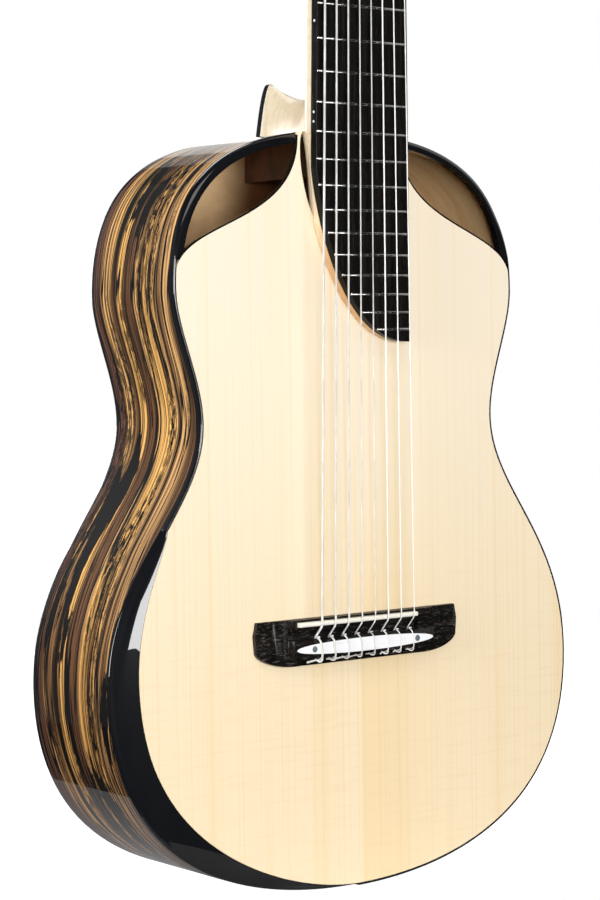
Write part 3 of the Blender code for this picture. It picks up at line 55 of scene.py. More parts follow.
FACE = -0.04975  # y of the soundboard's face
GAP = 0.0003
SLIVER = 0.00005  # between two visible pieces that lie on each other
SIDES = ((-1, "bass"), (1, "treble"))
STRINGS = range(1, 9)
STRING_RADII = (0.00040, 0.00045, 0.00053, 0.00042, 0.00048, 0.00060, 0.00070, 0.00078)
ON_FACE = Matrix(((1, 0, 0), (0, 0, -1), (0, 1, 0))).to_4x4()
SIDEWAYS = {side: Matrix(((0, 0, side), (1, 0, 0), (0, side, 0))).to_4x4() for side in (-1, 1)}
FROM_ABOVE = Matrix(((1, 0, 0), (0, -1, 0), (0, 0, -1))).to_4x4()


# Drawing and solids


def between(share: float, first: float, second: float) -> float:
    """Give the value at a share of the way from first to second."""
    return first + (second - first) * share


def at(x: float, depth: float, z: float) -> Vector:
    """Place a point by its depth behind the soundboard's face."""
    return Vector((x, FACE + depth, z))


def shift(x: float = 0.0, y: float = 0.0, z: float = 0.0) -> Matrix:
    """Move a frame by three distances."""
    return Matrix.Translation((x, y, z))


def bezier(start: Point, first: Point, second: Point, end: Point, steps: int) -> list[Point]:
    """Draw a cubic curve.

    Args:
        start: Where the curve begins.
        first: Handle of its beginning.
        second: Handle of its end.
        end: Where the curve ends.
        steps: How many straight steps stand for it.

    Returns:
        The points along it, both ends included.
    """
    points = []
    for t in (i / steps for i in range(steps + 1)):
        weights = ((1 - t) ** 3, 3 * (1 - t) ** 2 * t, 3 * (1 - t) * t * t, t**3)
        x, z = (sum(w * p[k] for w, p in zip(weights, (start, first, second, end))) for k in (0, 1))
        points.append((x, z))
    return points


def arc(middle: Point, radii: Point, start: float, end: float, steps: int) -> list[Point]:
    """Draw part of an ellipse.

    Args:
        middle: Its centre.
        radii: Its two half axes.
        start: Angle of its first point, in degrees.
        end: Angle of its last point.
        steps: How many straight steps stand for it.

    Returns:
        The points along it, both ends included.
    """
    angles = [math.radians(between(i / steps, start, end)) for i in range(steps + 1)]
    return [(middle[0] + radii[0] * math.cos(a), middle[1] + radii[1] * math.sin(a)) for a in angles]


def mirrored(points: Sequence[Point]) -> list[Point]:
    """Give the same points on the other side of the centre line, in reverse order."""
    return [(-x, z) for x, z in reversed(points)]


def leftwards(points: Sequence[Point]) -> list[Point]:
    """Give the direction to the left of a line at each of its points."""
    ways = []
    for i in range(len(points)):
        (ax, az), (bx, bz) = points[max(i - 1, 0)], points[min(i + 1, len(points) - 1)]
        size = math.hypot(bx - ax, bz - az)
        ways.append(((az - bz) / size, (bx - ax) / size))
    return ways


def slab(start: float, end: float, steps: int, first: float, second: float) -> list[Point]:
    """Draw a thin section between two places across, at two depths."""
    across = [between(i / steps, start, end) for i in range(steps + 1)]
    return [(w, first) for w in across] + [(w, second) for w in reversed(across)]


def shaded(obj: Piece, degrees: float = 35.0) -> Piece:
    """Shade a piece smooth, with every corner over so many degrees left sharp."""
    obj.data.shade_smooth()
    obj.data.set_sharp_from_angle(angle=math.radians(degrees))
    return obj


def object_of(name: str, shape: bmesh.types.BMesh, degrees: float = 35.0) -> Piece:
    """Turn a finished shape, which is freed, into an object in the scene.

    Args:
        name: The piece's name.
        shape: Its mesh.
        degrees: Corners over this angle stay sharp.

    Returns:
        The new object.
    """
    bmesh.ops.recalc_face_normals(shape, faces=shape.faces)
    mesh = bpy.data.meshes.new(name)
    shape.to_mesh(mesh)
    shape.free()
    return shaded(linked(name, mesh), degrees)


def linked(name: str, data: Any) -> Piece:
    """Put an object with the given data in the scene."""
    obj = bpy.data.objects.new(name, data)
    bpy.context.scene.collection.objects.link(obj)
    return obj


def skin(
    name: str,
    rings: Sequence[Sequence[Vector]],
    grain: Sequence[Sequence[Point]] = (),
    looped: bool = False,
    degrees: float = 35.0,
) -> Piece:
    """Stretch a closed skin over rings of points.

    Args:
        name: The piece's name.
        rings: Closed rings with as many points each.
        grain: For each point, its distance along the wood's grain and across it.
        looped: Whether the last ring joins the first; if not, both ends are capped.
        degrees: Corners over this angle stay sharp.

    Returns:
        The new object, whose map "grain" runs along the wood.
    """
    shape = bmesh.new()
    layer = shape.loops.layers.uv.new("grain")
    rows = [[shape.verts.new(point) for point in ring] for ring in rings]
    marks: dict[bmesh.types.BMVert, Point] = {}
    for row, places in zip(rows, grain):
        marks.update(zip(row, places))
    for row, following in list(zip(rows, rows[1:])) + ([(rows[-1], rows[0])] if looped else []):
        for i in range(len(row)):
            j = (i + 1) % len(row)
            shape.faces.new((row[i], row[j], following[j], following[i]))
    if not looped:
        shape.faces.new(rows[0])
        shape.faces.new(rows[-1])
    for face in shape.faces:
        for loop in face.loops:
            loop[layer].uv = marks.get(loop.vert, (loop.vert.co.z, loop.vert.co.x))
    return object_of(name, shape, degrees)


def prism(name: str, loop: Sequence[Point], low: float, high: float, place: Matrix) -> Piece:
    """Give a flat drawing, in a frame of its own, a thickness from low to high."""
    return skin(name, [[place @ Vector((x, y, t)) for x, y in loop] for t in (low, high)])


def plate(name: str, loop: Sequence[Point], front: float, back: float) -> Piece:
    """Fill a drawing in x and z between two depths behind the soundboard's face."""
    return prism(name, loop, -back, -front, shift(y=FACE) @ ON_FACE)


def box(name: str, low: Sequence[float], high: Sequence[float], place: Matrix = Matrix()) -> Piece:
    """Make a box between two corners, in a frame of its own if one is given."""
    loop = [(low[0], low[1]), (high[0], low[1]), (high[0], high[1]), (low[0], high[1])]
    return prism(name, loop, low[2], high[2], place)


def turned(name: str, profile: Sequence[Point], steps: int, place: Matrix) -> Piece:
    """Turn a profile of radii and heights, in so many steps, about its frame's third axis."""
    whole = 360 - 360 / steps
    rings = [arc((0.0, 0.0), (radius, radius), 0, whole, steps - 1) for radius, height in profile]
    return skin(name, [[place @ Vector((x, y, p[1])) for x, y in ring] for ring, p in zip(rings, profile)])


def tube(name: str, points: Sequence[Vector], radius: float, sides: int) -> Piece:
    """Lay a round tube along a line of points.

    Args:
        name: The piece's name.
        points: The line, in order.
        radius: Its radius.
        sides: How many sides its section has.

    Returns:
        The new object; its grain runs along the tube.
    """
    rings, grain, run = [], [], 0.0
    normal = Vector((1, 0, 0))
    turns = [2 * math.pi * k / sides for k in range(sides)]
    for i, point in enumerate(points):
        along = (points[min(i + 1, len(points) - 1)] - points[max(i - 1, 0)]).normalized()
        normal = (normal - along * normal.dot(along)).normalized()
        across = along.cross(normal)
        if i:
            run += (point - points[i - 1]).length
        rings.append([point + (normal * math.cos(a) + across * math.sin(a)) * radius for a in turns])
        grain.append([(run, a * radius) for a in turns])
    return skin(name, rings, grain)


def eased(points: Sequence[Vector], steps: int = 6) -> list[Vector]:
    """Draw a smooth line through points, which it passes exactly.

    Args:
        points: The points it goes through.
        steps: How many steps lie between two of them.

    Returns:
        The line's points.
    """
    line = []
    for i in range(len(points) - 1):
        before, after = points[max(i - 1, 0)], points[min(i + 2, len(points) - 1)]
        start, end = points[i], points[i + 1]
        square = 2 * before - 5 * start + 4 * end - after
        cube = 3 * start - before - 3 * end + after
        for t in (k / steps for k in range(steps)):
            line.append(0.5 * (2 * start + (end - before) * t + square * t**2 + cube * t**3))
    return line + [points[-1]]


def settled(obj: Piece) -> Piece:
    """Make a piece's modifiers final."""
    bpy.context.view_layer.update()
    graph = bpy.context.evaluated_depsgraph_get()
    mesh = bpy.data.meshes.new_from_object(obj.evaluated_get(graph))
    obj.modifiers.clear()
    obj.data = mesh
    return obj


class Change(Enum):
    """What one solid does to another."""

    CUT = "DIFFERENCE"
    JOIN = "UNION"
    TRIM = "INTERSECT"


def worked(obj: Piece, change: Change, *others: Piece) -> Piece:
    """Cut, join or trim a piece with others, which are used up.

    Args:
        obj: The piece.
        change: What is done to it.
        others: The solids that it is done with.

    Returns:
        The same object, with its mesh changed.
    """
    for other in others:
        step = obj.modifiers.new("work", "BOOLEAN")
        step.operation = change.value
        step.solver = "EXACT"
        step.object = other
    settled(obj)
    for other in others:
        bpy.data.objects.remove(other, do_unlink=True)
    return shaded(obj)


def rounded(obj: Piece, width: float, segments: int = 2, degrees: float = 60.0) -> Piece:
    """Round a piece's corners.

    Args:
        obj: The piece.
        width: How far the rounding reaches from each corner.
        segments: How many faces make it.
        degrees: Only corners over this angle are rounded.

    Returns:
        The same object.
    """
    shaded(obj, 89.0)
    step = obj.modifiers.new("round", "BEVEL")
    step.width = width
    step.segments = segments
    step.limit_method = "ANGLE"
    step.angle_limit = math.radians(degrees)
    flat = obj.modifiers.new("flat", "WEIGHTED_NORMAL")
    flat.keep_sharp = False
    flat.weight = 100
    return settled(obj)


def merged(name: str, *objects: Piece) -> Piece:
    """Put several closed solids into one object."""
    shape = bmesh.new()
    shape.loops.layers.uv.new("grain")
    for obj in objects:
        shape.from_mesh(obj.data)
        bpy.data.objects.remove(obj, do_unlink=True)
    return object_of(name, shape)


# Sizes of the body that several pieces share


@dataclass
class Body:
    """The body's outline, its back's curve and the places of its ports, bevel and slots."""

    length: float = 0.508
    depth: float = 0.0995
    lower_bout: float = 0.3874
    waist: float = 0.2496
    upper_bout: float = 0.289
    binding: float = 0.0016
    binding_depth: float = 0.0058
    back_binding_depth: float = 0.0040
    side: float = 0.0024
    top: float = 0.0024
    back: float = 0.0028
    rim: float = 0.0067
    bevel_length: float = 0.388
    bevel_peak: float = 0.200
    bevel_width_most: float = 0.0210
    bevel_drop_at: float = 0.300
    bevel_drop_reach: float = 0.105
    bevel_drop_most: float = 0.0110
    back_drop: float = 0.0085
    steps: int = 36
    half: list[Point] = field(init=False)
    runs: list[float] = field(init=False)
    inwards: list[Point] = field(init=False)

    def __post_init__(self) -> None:
        """Draw the treble half of the outline and find the ends of the ports along it."""
        low, waist, high = self.lower_bout / 2, self.waist / 2, self.upper_bout / 2
        low_at, waist_at, high_at = (share * self.length for share in (0.2821, 0.6209, 0.7927))
        rise, step, top = waist_at - low_at, high_at - waist_at, self.length - high_at
        curves = (
            ((0, 0), (0.396 * low, 0), (low, 0.159 * low_at), (low, low_at)),
            ((low, low_at), (low, low_at + 0.499 * rise), (waist, waist_at - 0.311 * rise), (waist, waist_at)),
            ((waist, waist_at), (waist, waist_at + 0.338 * step), (high, high_at - 0.307 * step), (high, high_at)),
            ((high, high_at), (high, high_at + 0.672 * top), (0.700 * high, self.length), (0, self.length)),
        )
        self.half = [(0.0, 0.0)]
        for curve in curves:
            self.half += bezier(*curve, self.steps)[1:]
        self.runs = [0.0]
        for (ax, az), (bx, bz) in zip(self.half, self.half[1:]):
            self.runs.append(self.runs[-1] + math.hypot(bx - ax, bz - az))
        self.inwards = [(0.0, 1.0)] + leftwards(self.half)[1:-1] + [(0.0, -1.0)]
        self.bout_at = high_at
        self.port_from = self.run_at(lambda x, z: z >= self.length - 0.0913)
        self.port_to = self.run_at(lambda x, z: z > high_at and x <= 0.045)

    def spot(self, run: float) -> tuple[Point, Point]:
        """Find a place on the treble half of the outline.

        Args:
            run: Distance along the outline from the tail's centre.

        Returns:
            The point there and the direction inwards.
        """
        i = 0
        while i < len(self.runs) - 2 and self.runs[i + 1] <= run:
            i += 1
        share = (run - self.runs[i]) / (self.runs[i + 1] - self.runs[i])
        (ax, az), (bx, bz) = self.half[i], self.half[i + 1]
        (anx, anz), (bnx, bnz) = self.inwards[i], self.inwards[i + 1]
        return (
            (between(share, ax, bx), between(share, az, bz)),
            (between(share, anx, bnx), between(share, anz, bnz)),
        )

    def run_at(self, test: Callable[[float, float], bool]) -> float:
        """Find how far along the outline the first point passes a test of x and z."""
        runs = (self.runs[-1] * i / 8000 for i in range(8001))
        return next((run for run in runs if test(*self.spot(run)[0])), self.runs[-1])

    def stops(self, low: float, high: float) -> list[float]:
        """List the ends of a stretch of the outline and the drawn points between them."""
        return [low] + [run for run in self.runs if low + GAP < run < high - GAP] + [high]

    def inset(self, distance: float) -> list[Point]:
        """Draw the treble half of the outline again, so far inside itself."""
        ways = zip(self.half, self.inwards)
        return [(max(x + nx * distance, 0.0), z + nz * distance) for (x, z), (nx, nz) in ways]

    def back_depth(self, z: float) -> float:
        """Give the depth of the back's outer face at a height."""
        start = 0.5906 * self.length
        share = min(max(z - start, 0.0) / (self.length - start), 1.0)
        return self.depth - self.back_drop * share**1.6

    def bevel_width(self, run: float) -> float:
        """Give the width of the arm bevel, so far along the bass outline from the tail."""
        if run <= self.bevel_peak:
            share = math.sin(math.pi / 2 * max(run, 0.0) / self.bevel_peak) ** 1.6
        else:
            past = (run - self.bevel_peak) / (self.bevel_length - self.bevel_peak)
            share = (1 - min(past, 1.0) ** 1.6) ** 0.7
        return between(share, self.binding, self.bevel_width_most)

    def bevel_drop(self, run: float) -> float:
        """Give how far the arm bevel reaches down the side."""
        off = abs(run - self.bevel_drop_at) / self.bevel_drop_reach
        share = math.cos(math.pi / 2 * off) ** 2 if off < 1 else 0.0
        return between(share, self.binding_depth, self.bevel_drop_most)

    def port_edge(self, inset: float = 0.0) -> list[Point]:
        """Draw the soundboard's edge along the treble port, moved into the wood by an inset."""
        down = ((0.1429, 0.0913), (0.1309, 0.0594), (0.0398, 0.0617), (0.0450, 0.0))
        curve = bezier(*((x, self.length - d) for x, d in down), 40)
        return [(x + nx * inset, z + nz * inset) for (x, z), (nx, nz) in zip(curve, leftwards(curve))]

    def slot_edge(self, outer: bool) -> list[Point]:
        """Draw one long edge of the treble leaf slot, from its upper end down to its tip."""
        handles = ((0.0450, 0.0036), (0.0421, 0.0392)) if outer else ((0.0345, 0.0135), (0.0345, 0.0340))
        down = ((0.0385, 0.0018), *handles, (0.0315, 0.0575))
        return bezier(*((x, self.length - d) for x, d in down), 20)

    def point(self, side: int, run: float, inset: float, depth: float) -> Vector:
        """Place a point of a strip that follows the outline.

        Args:
            side: 1 for the treble side, -1 for the bass side.
            run: Distance along the outline from the tail's centre.
            inset: Distance inwards from the outline.
            depth: Distance back from the soundboard's face.

        Returns:
            The point in the part's frame.
        """
        (x, z), (nx, nz) = self.spot(run)
        return at(side * max(x + nx * inset, GAP / 4), depth, z + nz * inset)

    def strip(
        self, side: int, runs: Sequence[float], section: Callable[[float], Sequence[Point]]
    ) -> list[list[Vector]]:
        """Place a section of insets and depths at each of some runs along one side."""
        return [[self.point(side, run, w, d) for w, d in section(run)] for run in runs]


BODY = Body()


# Finishes


class NodeSheet:
    """One material whose nodes are laid out a line at a time."""

    def __init__(self, name: str, **uniform: float | Colour) -> None:
        """Start a material.

        Args:
            name: The material's name.
            uniform: Values of the shader's own sockets, with _ for each space of their names.
        """
        self.material = bpy.data.materials.new(name)
        self.material.use_nodes = True
        self.tree = self.material.node_tree
        self.shader = self.tree.nodes["Principled BSDF"]
        self.colour: Any = None
        for label, value in uniform.items():
            socket = self.shader.inputs[label.replace("_", " ")]
            socket.default_value = (*value, 1.0) if isinstance(value, tuple) else value

    def add(self, kind: str, inputs: dict[Any, Any], output: int | str = 0, **settings: Any) -> Any:
        """Add a node.

        Args:
            kind: Blender's name of the node without "ShaderNode".
            inputs: A value or another node's output for each socket.
            output: Which output is wanted.
            settings: The node's own settings.

        Returns:
            The output socket.
        """
        node = self.tree.nodes.new("ShaderNode" + kind)
        for label, value in settings.items():
            setattr(node, label, value)
        for label, value in inputs.items():
            if isinstance(value, bpy.types.NodeSocket):
                self.tree.links.new(value, node.inputs[label])
            else:
                node.inputs[label].default_value = value
        return node.outputs[output]

    def place(self) -> Any:
        """Give the position on the object, in metres."""
        return self.add("TexCoord", {}, "Object")

    def grain(self) -> Any:
        """Give the position along the wood's grain and across it, in metres."""
        return self.add("UVMap", {}, uv_map="grain")

    def part(self, place: Any, axis: int) -> Any:
        """Give one of the three numbers of a position."""
        return self.add("SeparateXYZ", {0: place}, axis)

    def noise(
        self, place: Any, scale: Colour, detail: float = 2.0, rough: float = 0.5, output: int | str = 0
    ) -> Any:
        """Give a soft random value about 0.5 that changes with a stretched position."""
        place = self.add("VectorMath", {0: place, 1: scale}, operation="MULTIPLY")
        return self.add("TexNoise", {"Vector": place, "Scale": 1.0, "Detail": detail, "Roughness": rough}, output)

    def bent(self, place: Any, scale: Colour, amount: Colour, detail: float = 2.0) -> Any:
        """Push a position about at random, by so much along each direction."""
        push = self.noise(place, scale, detail, output="Color")
        level = self.add("VectorMath", {0: push, 1: (0.5, 0.5, 0.5)}, operation="SUBTRACT")
        return self.add("VectorMath", {0: level, 1: amount, 2: place}, operation="MULTIPLY_ADD")

    def math(self, operation: str, first: Any, *others: Any) -> Any:
        """Work out one number from one or more, two at a time."""
        for other in others or (0.0,):
            first = self.add("Math", {0: first, 1: other}, operation=operation)
        return first

    def ramp(self, value: Any, stops: Sequence[tuple[float, Colour]], smooth: bool = False) -> Any:
        """Turn a number into a colour.

        Args:
            value: The number.
            stops: Places from 0 to 1 with the colour of each.
            smooth: Whether the colours ease into each other.

        Returns:
            The colour's socket.
        """
        colour = self.add("ValToRGB", {0: value})
        ramp = colour.node.color_ramp
        ramp.interpolation = "EASE" if smooth else "LINEAR"
        while len(ramp.elements) < len(stops):
            ramp.elements.new(0.5)
        for element, (place, tone) in zip(ramp.elements, stops):
            element.position = place
            element.color = (*tone, 1.0)
        return colour

    def step(self, value: Any, low: float, high: float) -> Any:
        """Rise from 0 to 1 as a number goes from low to high."""
        inputs = {"Value": value, "From Min": low, "From Max": high}
        return self.add("MapRange", inputs, interpolation_type="SMOOTHSTEP")

    def patches(self, place: Any, scale: Colour, low: float, high: float, detail: float = 2.0) -> Any:
        """Rise from 0 to 1 where a soft random value goes from low to high."""
        return self.step(self.noise(place, scale, detail), low, high)

    def mix(self, share: Any, first: Any, second: Any, blend: str = "MIX") -> Any:
        """Mix two colours."""
        first, second = ((*c, 1.0) if isinstance(c, tuple) else c for c in (first, second))
        return self.add("Mix", {0: share, 6: first, 7: second}, 2, data_type="RGBA", blend_type=blend)

    def lay(self, tint: Any, *shares: Any, blend: str = "MIX") -> None:
        """Lay a tint over the colour so far, by the product of some shares."""
        share = self.math("MULTIPLY", *shares) if len(shares) > 1 else shares[0]
        self.colour = self.mix(share, self.colour, tint, blend)

    def roughness(self, value: Any, low: float, high: float) -> None:
        """Vary the surface's roughness with a number."""
        spread = self.add("MapRange", {"Value": value, "To Min": low, "To Max": high})
        self.tree.links.new(spread, self.shader.inputs["Roughness"])

    def done(self, height: Any = None, distance: float = 0.0, strength: float = 1.0) -> bpy.types.Material:
        """Give the surface its colour, and bumps of so many metres if it has a height."""
        self.tree.links.new(self.colour, self.shader.inputs["Base Color"])
        if height:
            bump = self.add("Bump", {"Height": height, "Distance": distance, "Strength": strength})
            self.tree.links.new(bump, self.shader.inputs["Normal"])
        return self.material


@dataclass(frozen=True)
class Spruce:
    """Pale book-matched soundboard wood under a thin gloss, with its seam beside the centre line."""

    name: str = "spruce_top"
    high: Colour = (0.90, 0.785, 0.615)
    low: Colour = (0.89, 0.735, 0.500)
    band_high: Colour = (0.885, 0.755, 0.535)
    band_low: Colour = (0.86, 0.675, 0.415)
    streak: Colour = (0.84, 0.60, 0.34)
    warm: Colour = (0.87, 0.665, 0.385)
    ring: Colour = (0.74, 0.52, 0.26)
    silk: Colour = (0.76, 0.56, 0.32)
    seam: float = 0.0035

    def material(self) -> bpy.types.Material:
        """Lay out the nodes: tone by height, bands, streaks, the warmer half, year rings and silk."""
        sheet = NodeSheet(self.name, Roughness=0.5, Specular_IOR_Level=0.12, Coat_Weight=0.3, Coat_Roughness=0.1)
        place = sheet.place()
        z = sheet.part(place, 2)
        off = sheet.math("SUBTRACT", sheet.part(place, 0), self.seam)
        leaf = sheet.add("CombineXYZ", {0: sheet.math("ABSOLUTE", off), 2: z})
        leaf = sheet.bent(leaf, (4.0, 1.0, 3.0), (0.004, 0.0, 0.0))
        below = sheet.step(z, 0.42, 0.10)
        sheet.colour = sheet.mix(below, self.high, self.low)
        band = sheet.mix(below, self.band_high, self.band_low)
        sheet.lay(band, sheet.patches(leaf, (46.0, 0.0, 0.7), 0.46, 0.66), 0.55)
        sheet.lay(self.streak, sheet.patches(leaf, (150.0, 0.0, 1.2), 0.62, 0.74), 0.26)
        right = sheet.math("MULTIPLY", sheet.step(off, -0.0002, 0.0002), sheet.step(off, 0.085, 0.0))
        sheet.lay(self.warm, right, sheet.step(z, 0.27, 0.16), 0.75)
        ring = sheet.noise(leaf, (560.0, 0.0, 1.6), 3.0, 0.6)
        sheet.lay(self.ring, sheet.step(ring, 0.48, 0.70), sheet.step(z, 0.50, 0.05), 0.30)
        silk = sheet.bent(place, (12.0, 0.0, 12.0), (0.0, 0.0, 0.006))
        silk = sheet.patches(silk, (26.0, 0.0, 330.0), 0.48, 0.70)
        sheet.lay(self.silk, silk, sheet.step(z, 0.30, 0.10), 0.15)
        return sheet.done(ring, 0.00002, 0.4)


@dataclass(frozen=True)
class Streaked:
    """Orange and black marbled wood of the sides and the back under a deep gloss."""

    name: str = "streaked_wood"
    seed: float = 0.0
    tan: Colour = (0.82, 0.470, 0.190)
    orange: Colour = (1.0, 0.560, 0.170)
    brown: Colour = (0.210, 0.098, 0.042)
    plum: Colour = (0.165, 0.078, 0.052)
    ink: Colour = (0.004, 0.003, 0.003)

    def bands(self) -> list[tuple[float, Colour]]:
        """List the broad bands of colour from the soundboard's edge to the back's."""
        tan, orange, brown, plum, ink = self.tan, self.orange, self.brown, self.plum, self.ink
        return [
            (0.06, brown), (0.09, tan), (0.18, tan), (0.205, brown), (0.225, ink), (0.235, tan),
            (0.30, orange), (0.43, orange), (0.46, tan), (0.475, ink), (0.49, brown), (0.58, brown),
            (0.595, orange), (0.655, orange), (0.665, ink), (0.70, ink), (0.715, orange), (0.765, tan),
            (0.775, ink), (0.785, tan), (0.815, orange), (0.83, plum), (0.96, plum),
        ]

    def material(self) -> bpy.types.Material:
        """Lay out the nodes: bands, fine rows, threads, blots, rows of specks and painted shade towards the bottom."""
        sheet = NodeSheet(self.name, Roughness=0.5, Specular_IOR_Level=0.02, Coat_Weight=1.0, Coat_Roughness=0.012)
        height = sheet.part(sheet.place(), 2)
        start = sheet.add("VectorMath", {0: sheet.grain(), 1: (self.seed, 0.0, self.seed)}, operation="ADD")
        swayed = sheet.bent(start, (4.2, 9.0, 1.0), (0.0, 0.026, 0.0), 1.0)
        swayed = sheet.bent(swayed, (19.0, 45.0, 1.0), (0.0, 0.0036, 0.0))
        across = sheet.part(swayed, 1)
        sheet.colour = sheet.ramp(sheet.math("MULTIPLY", across, 9.6), self.bands())
        sheet.lay(self.brown, sheet.patches(swayed, (2.2, 75.0, 2.0), 0.50, 0.64), 0.75)
        fine = sheet.noise(swayed, (5.0, 430.0, 1.0), 3.0, 0.6)
        rows = [(0.40, (0.10, 0.08, 0.07)), (0.50, (0.86, 0.84, 0.82)), (0.66, (1.12, 1.10, 1.05))]
        sheet.lay(sheet.ramp(fine, rows), 0.88, blend="MULTIPLY")
        marks = []
        for scale, middle, wide, narrow in (
            ((3.6, 120.0, 5.0), 0.5, 0.022, 0.010), ((2.6, 300.0, 8.0), 0.46, 0.034, 0.016)
        ):
            off = sheet.math("SUBTRACT", sheet.noise(swayed, scale, 2.0, 0.45), middle)
            marks.append(sheet.step(sheet.math("ABSOLUTE", off), wide, narrow))
        ragged = sheet.bent(swayed, (70.0, 260.0, 0.0), (0.0, 0.0022, 0.0), 3.0)
        deep = sheet.noise(ragged, (9.0, 110.0, 9.0), 5.0, 0.65)
        crowd = sheet.math("MULTIPLY", sheet.step(height, 0.42, 0.02), 0.085)
        crowd = sheet.math("ADD", deep, sheet.noise(start, (5.5, 20.0, 7.0), 1.0), crowd)
        marks.append(sheet.step(crowd, 1.135, 1.155))
        band = sheet.math("MULTIPLY", sheet.step(across, 0.022, 0.030), sheet.step(across, 0.050, 0.042))
        band = sheet.math("MULTIPLY", band, sheet.patches(swayed, (9.0, 60.0, 11.0), 0.40, 0.56))
        stray = sheet.math("MULTIPLY", sheet.patches(swayed, (7.0, 52.0, 15.0), 0.56, 0.64, 1.0), 0.8)
        speck = sheet.step(sheet.noise(ragged, (105.0, 420.0, 1.0), 3.0, 0.65), 0.475, 0.515)
        marks.append(sheet.math("MULTIPLY", speck, sheet.math("MAXIMUM", band, stray)))
        sheet.lay(self.ink, sheet.math("MAXIMUM", *marks))
        # Painted shade: the wood is multiplied towards brown lower down, standing in for light that falls off towards
        # the floor
        sheet.lay(self.brown, sheet.step(height, 0.30, 0.06), 0.45, blend="MULTIPLY")
        return sheet.done(fine, 0.00002, 0.4)


@dataclass(frozen=True)
class PlainWood:
    """A quiet wood with long fibres, and cross figure where it has some."""

    name: str
    pale: Colour
    dark: Colour
    along: Colour = (30.0, 30.0, 1.5)
    figure: float = 0.0
    roughness: float = 0.5
    gloss: float = 0.0
    painted_shades: tuple[tuple[int, float, float, Colour], ...] = ()

    def material(self) -> bpy.types.Material:
        """Lay out the nodes; each painted shade deepens along an axis from a clear place to a full one."""
        sheet = NodeSheet(self.name, Roughness=self.roughness, Coat_Weight=self.gloss, Coat_Roughness=0.12)
        place = sheet.bent(sheet.place(), (9.0, 9.0, 9.0), (0.006, 0.006, 0.006))
        fibres = sheet.noise(place, self.along, 3.0)
        sheet.colour = sheet.ramp(fibres, [(0.34, self.dark), (0.58, self.pale)], True)
        fine = sheet.noise(place, tuple(12.0 * a for a in self.along), 3.0, 0.6)
        worn = sheet.ramp(fine, [(0.30, (0.80, 0.76, 0.72)), (0.55, (1.0, 1.0, 1.0))])
        sheet.lay(worn, 0.7, blend="MULTIPLY")
        if self.figure:
            swing = sheet.bent(place, (30.0, 30.0, 30.0), (0.004, 0.004, 0.004))
            sheet.lay(self.dark, sheet.patches(swing, (22.0, 22.0, 150.0), 0.42, 0.66, 1.0), self.figure)
        # painted shade: each entry multiplies a tint in along one axis of the object
        for axis, clear, full, tint in self.painted_shades:
            sheet.lay(tint, sheet.step(sheet.part(sheet.place(), axis), clear, full), blend="MULTIPLY")
        return sheet.done(fine, 0.00003, 0.5)


@dataclass(frozen=True)
class Ebony:
    """Nearly black wood with open pores; along gives the stretch of its grain."""

    name: str
    along: Colour
    gloss: float
    flecks: float
    tones: tuple[Colour, ...] = ((0.0025, 0.0025, 0.0025), (0.006, 0.005, 0.004), (0.016, 0.011, 0.008))
    fleck: Colour = (0.100, 0.085, 0.072)

    def material(self) -> bpy.types.Material:
        """Lay out the nodes."""
        uniform = {"Specular_IOR_Level": 0.05, "Coat_Weight": self.gloss, "Coat_Roughness": 0.16}
        sheet = NodeSheet(self.name, **uniform)
        place = sheet.place()
        streaks = sheet.noise(place, self.along, 3.0, 0.6)
        sheet.colour = sheet.ramp(streaks, list(zip((0.36, 0.58, 0.74), self.tones)))
        pores = sheet.noise(place, tuple(5.0 * a for a in self.along), 2.0, 0.6)
        open_pores = sheet.step(pores, 0.58, 0.66)
        sheet.lay(self.fleck, open_pores, self.flecks)
        sheet.roughness(pores, 0.24, 0.46)
        return sheet.done(sheet.math("SUBTRACT", 1.0, open_pores), 0.00005, 0.6)


@dataclass(frozen=True)
class Clouded:
    """A finish whose colour drifts softly over the piece: lacquer, bone, shell, metal or clear string."""

    name: str
    stops: tuple[tuple[float, Colour], ...]
    scale: Colour
    uniform: dict[str, float]
    detail: float = 3.0
    rough: float = 0.5
    smooth: bool = True
    bend: Point | None = None
    marks: Colour | None = None
    rubbed: Point | None = None
    bump: Point | None = None

    def material(self) -> bpy.types.Material:
        """Lay out the nodes; fine marks, where there are some, make its bumps and its rubbed roughness."""
        sheet = NodeSheet(self.name, **self.uniform)
        place = sheet.place()
        if self.bend:
            scale, amount = self.bend
            place = sheet.bent(place, (scale, scale, scale), (amount, amount, amount))
        cloud = sheet.noise(place, self.scale, self.detail, self.rough)
        sheet.colour = sheet.ramp(cloud, self.stops, self.smooth)
        marks = sheet.noise(place, self.marks) if self.marks else cloud
        if self.rubbed:
            sheet.roughness(marks, *self.rubbed)
        return sheet.done(marks, *self.bump) if self.bump else sheet.done()


def bone(name: str, pale: Colour, warm: Colour, roughness: float) -> Clouded:
    """Describe bleached bone or a white plate, faintly veined."""
    uniform = {"Roughness": roughness, "Coat_Weight": 0.3, "Coat_Roughness": 0.1}
    stops, veins = ((0.34, warm), (0.52, pale)), (70.0, 240.0, 400.0)
    return Clouded(name, stops, veins, uniform, 4.0, 0.6, bend=(60.0, 0.003), bump=(0.00001, 0.4))


def shell(name: str, scale: float, *clouds: Colour) -> Clouded:
    """Describe shell with soft clouds of colour."""
    uniform = {"Roughness": 0.22, "Coat_Weight": 0.8, "Coat_Roughness": 0.05}
    stops = tuple((0.30 + 0.40 * i / (len(clouds) - 1), c) for i, c in enumerate(clouds))
    spread = (scale, scale, 0.6 * scale)
    return Clouded(name, stops, spread, uniform, 3.0, 0.6, bend=(90.0, 0.006), bump=(0.00002, 0.3))


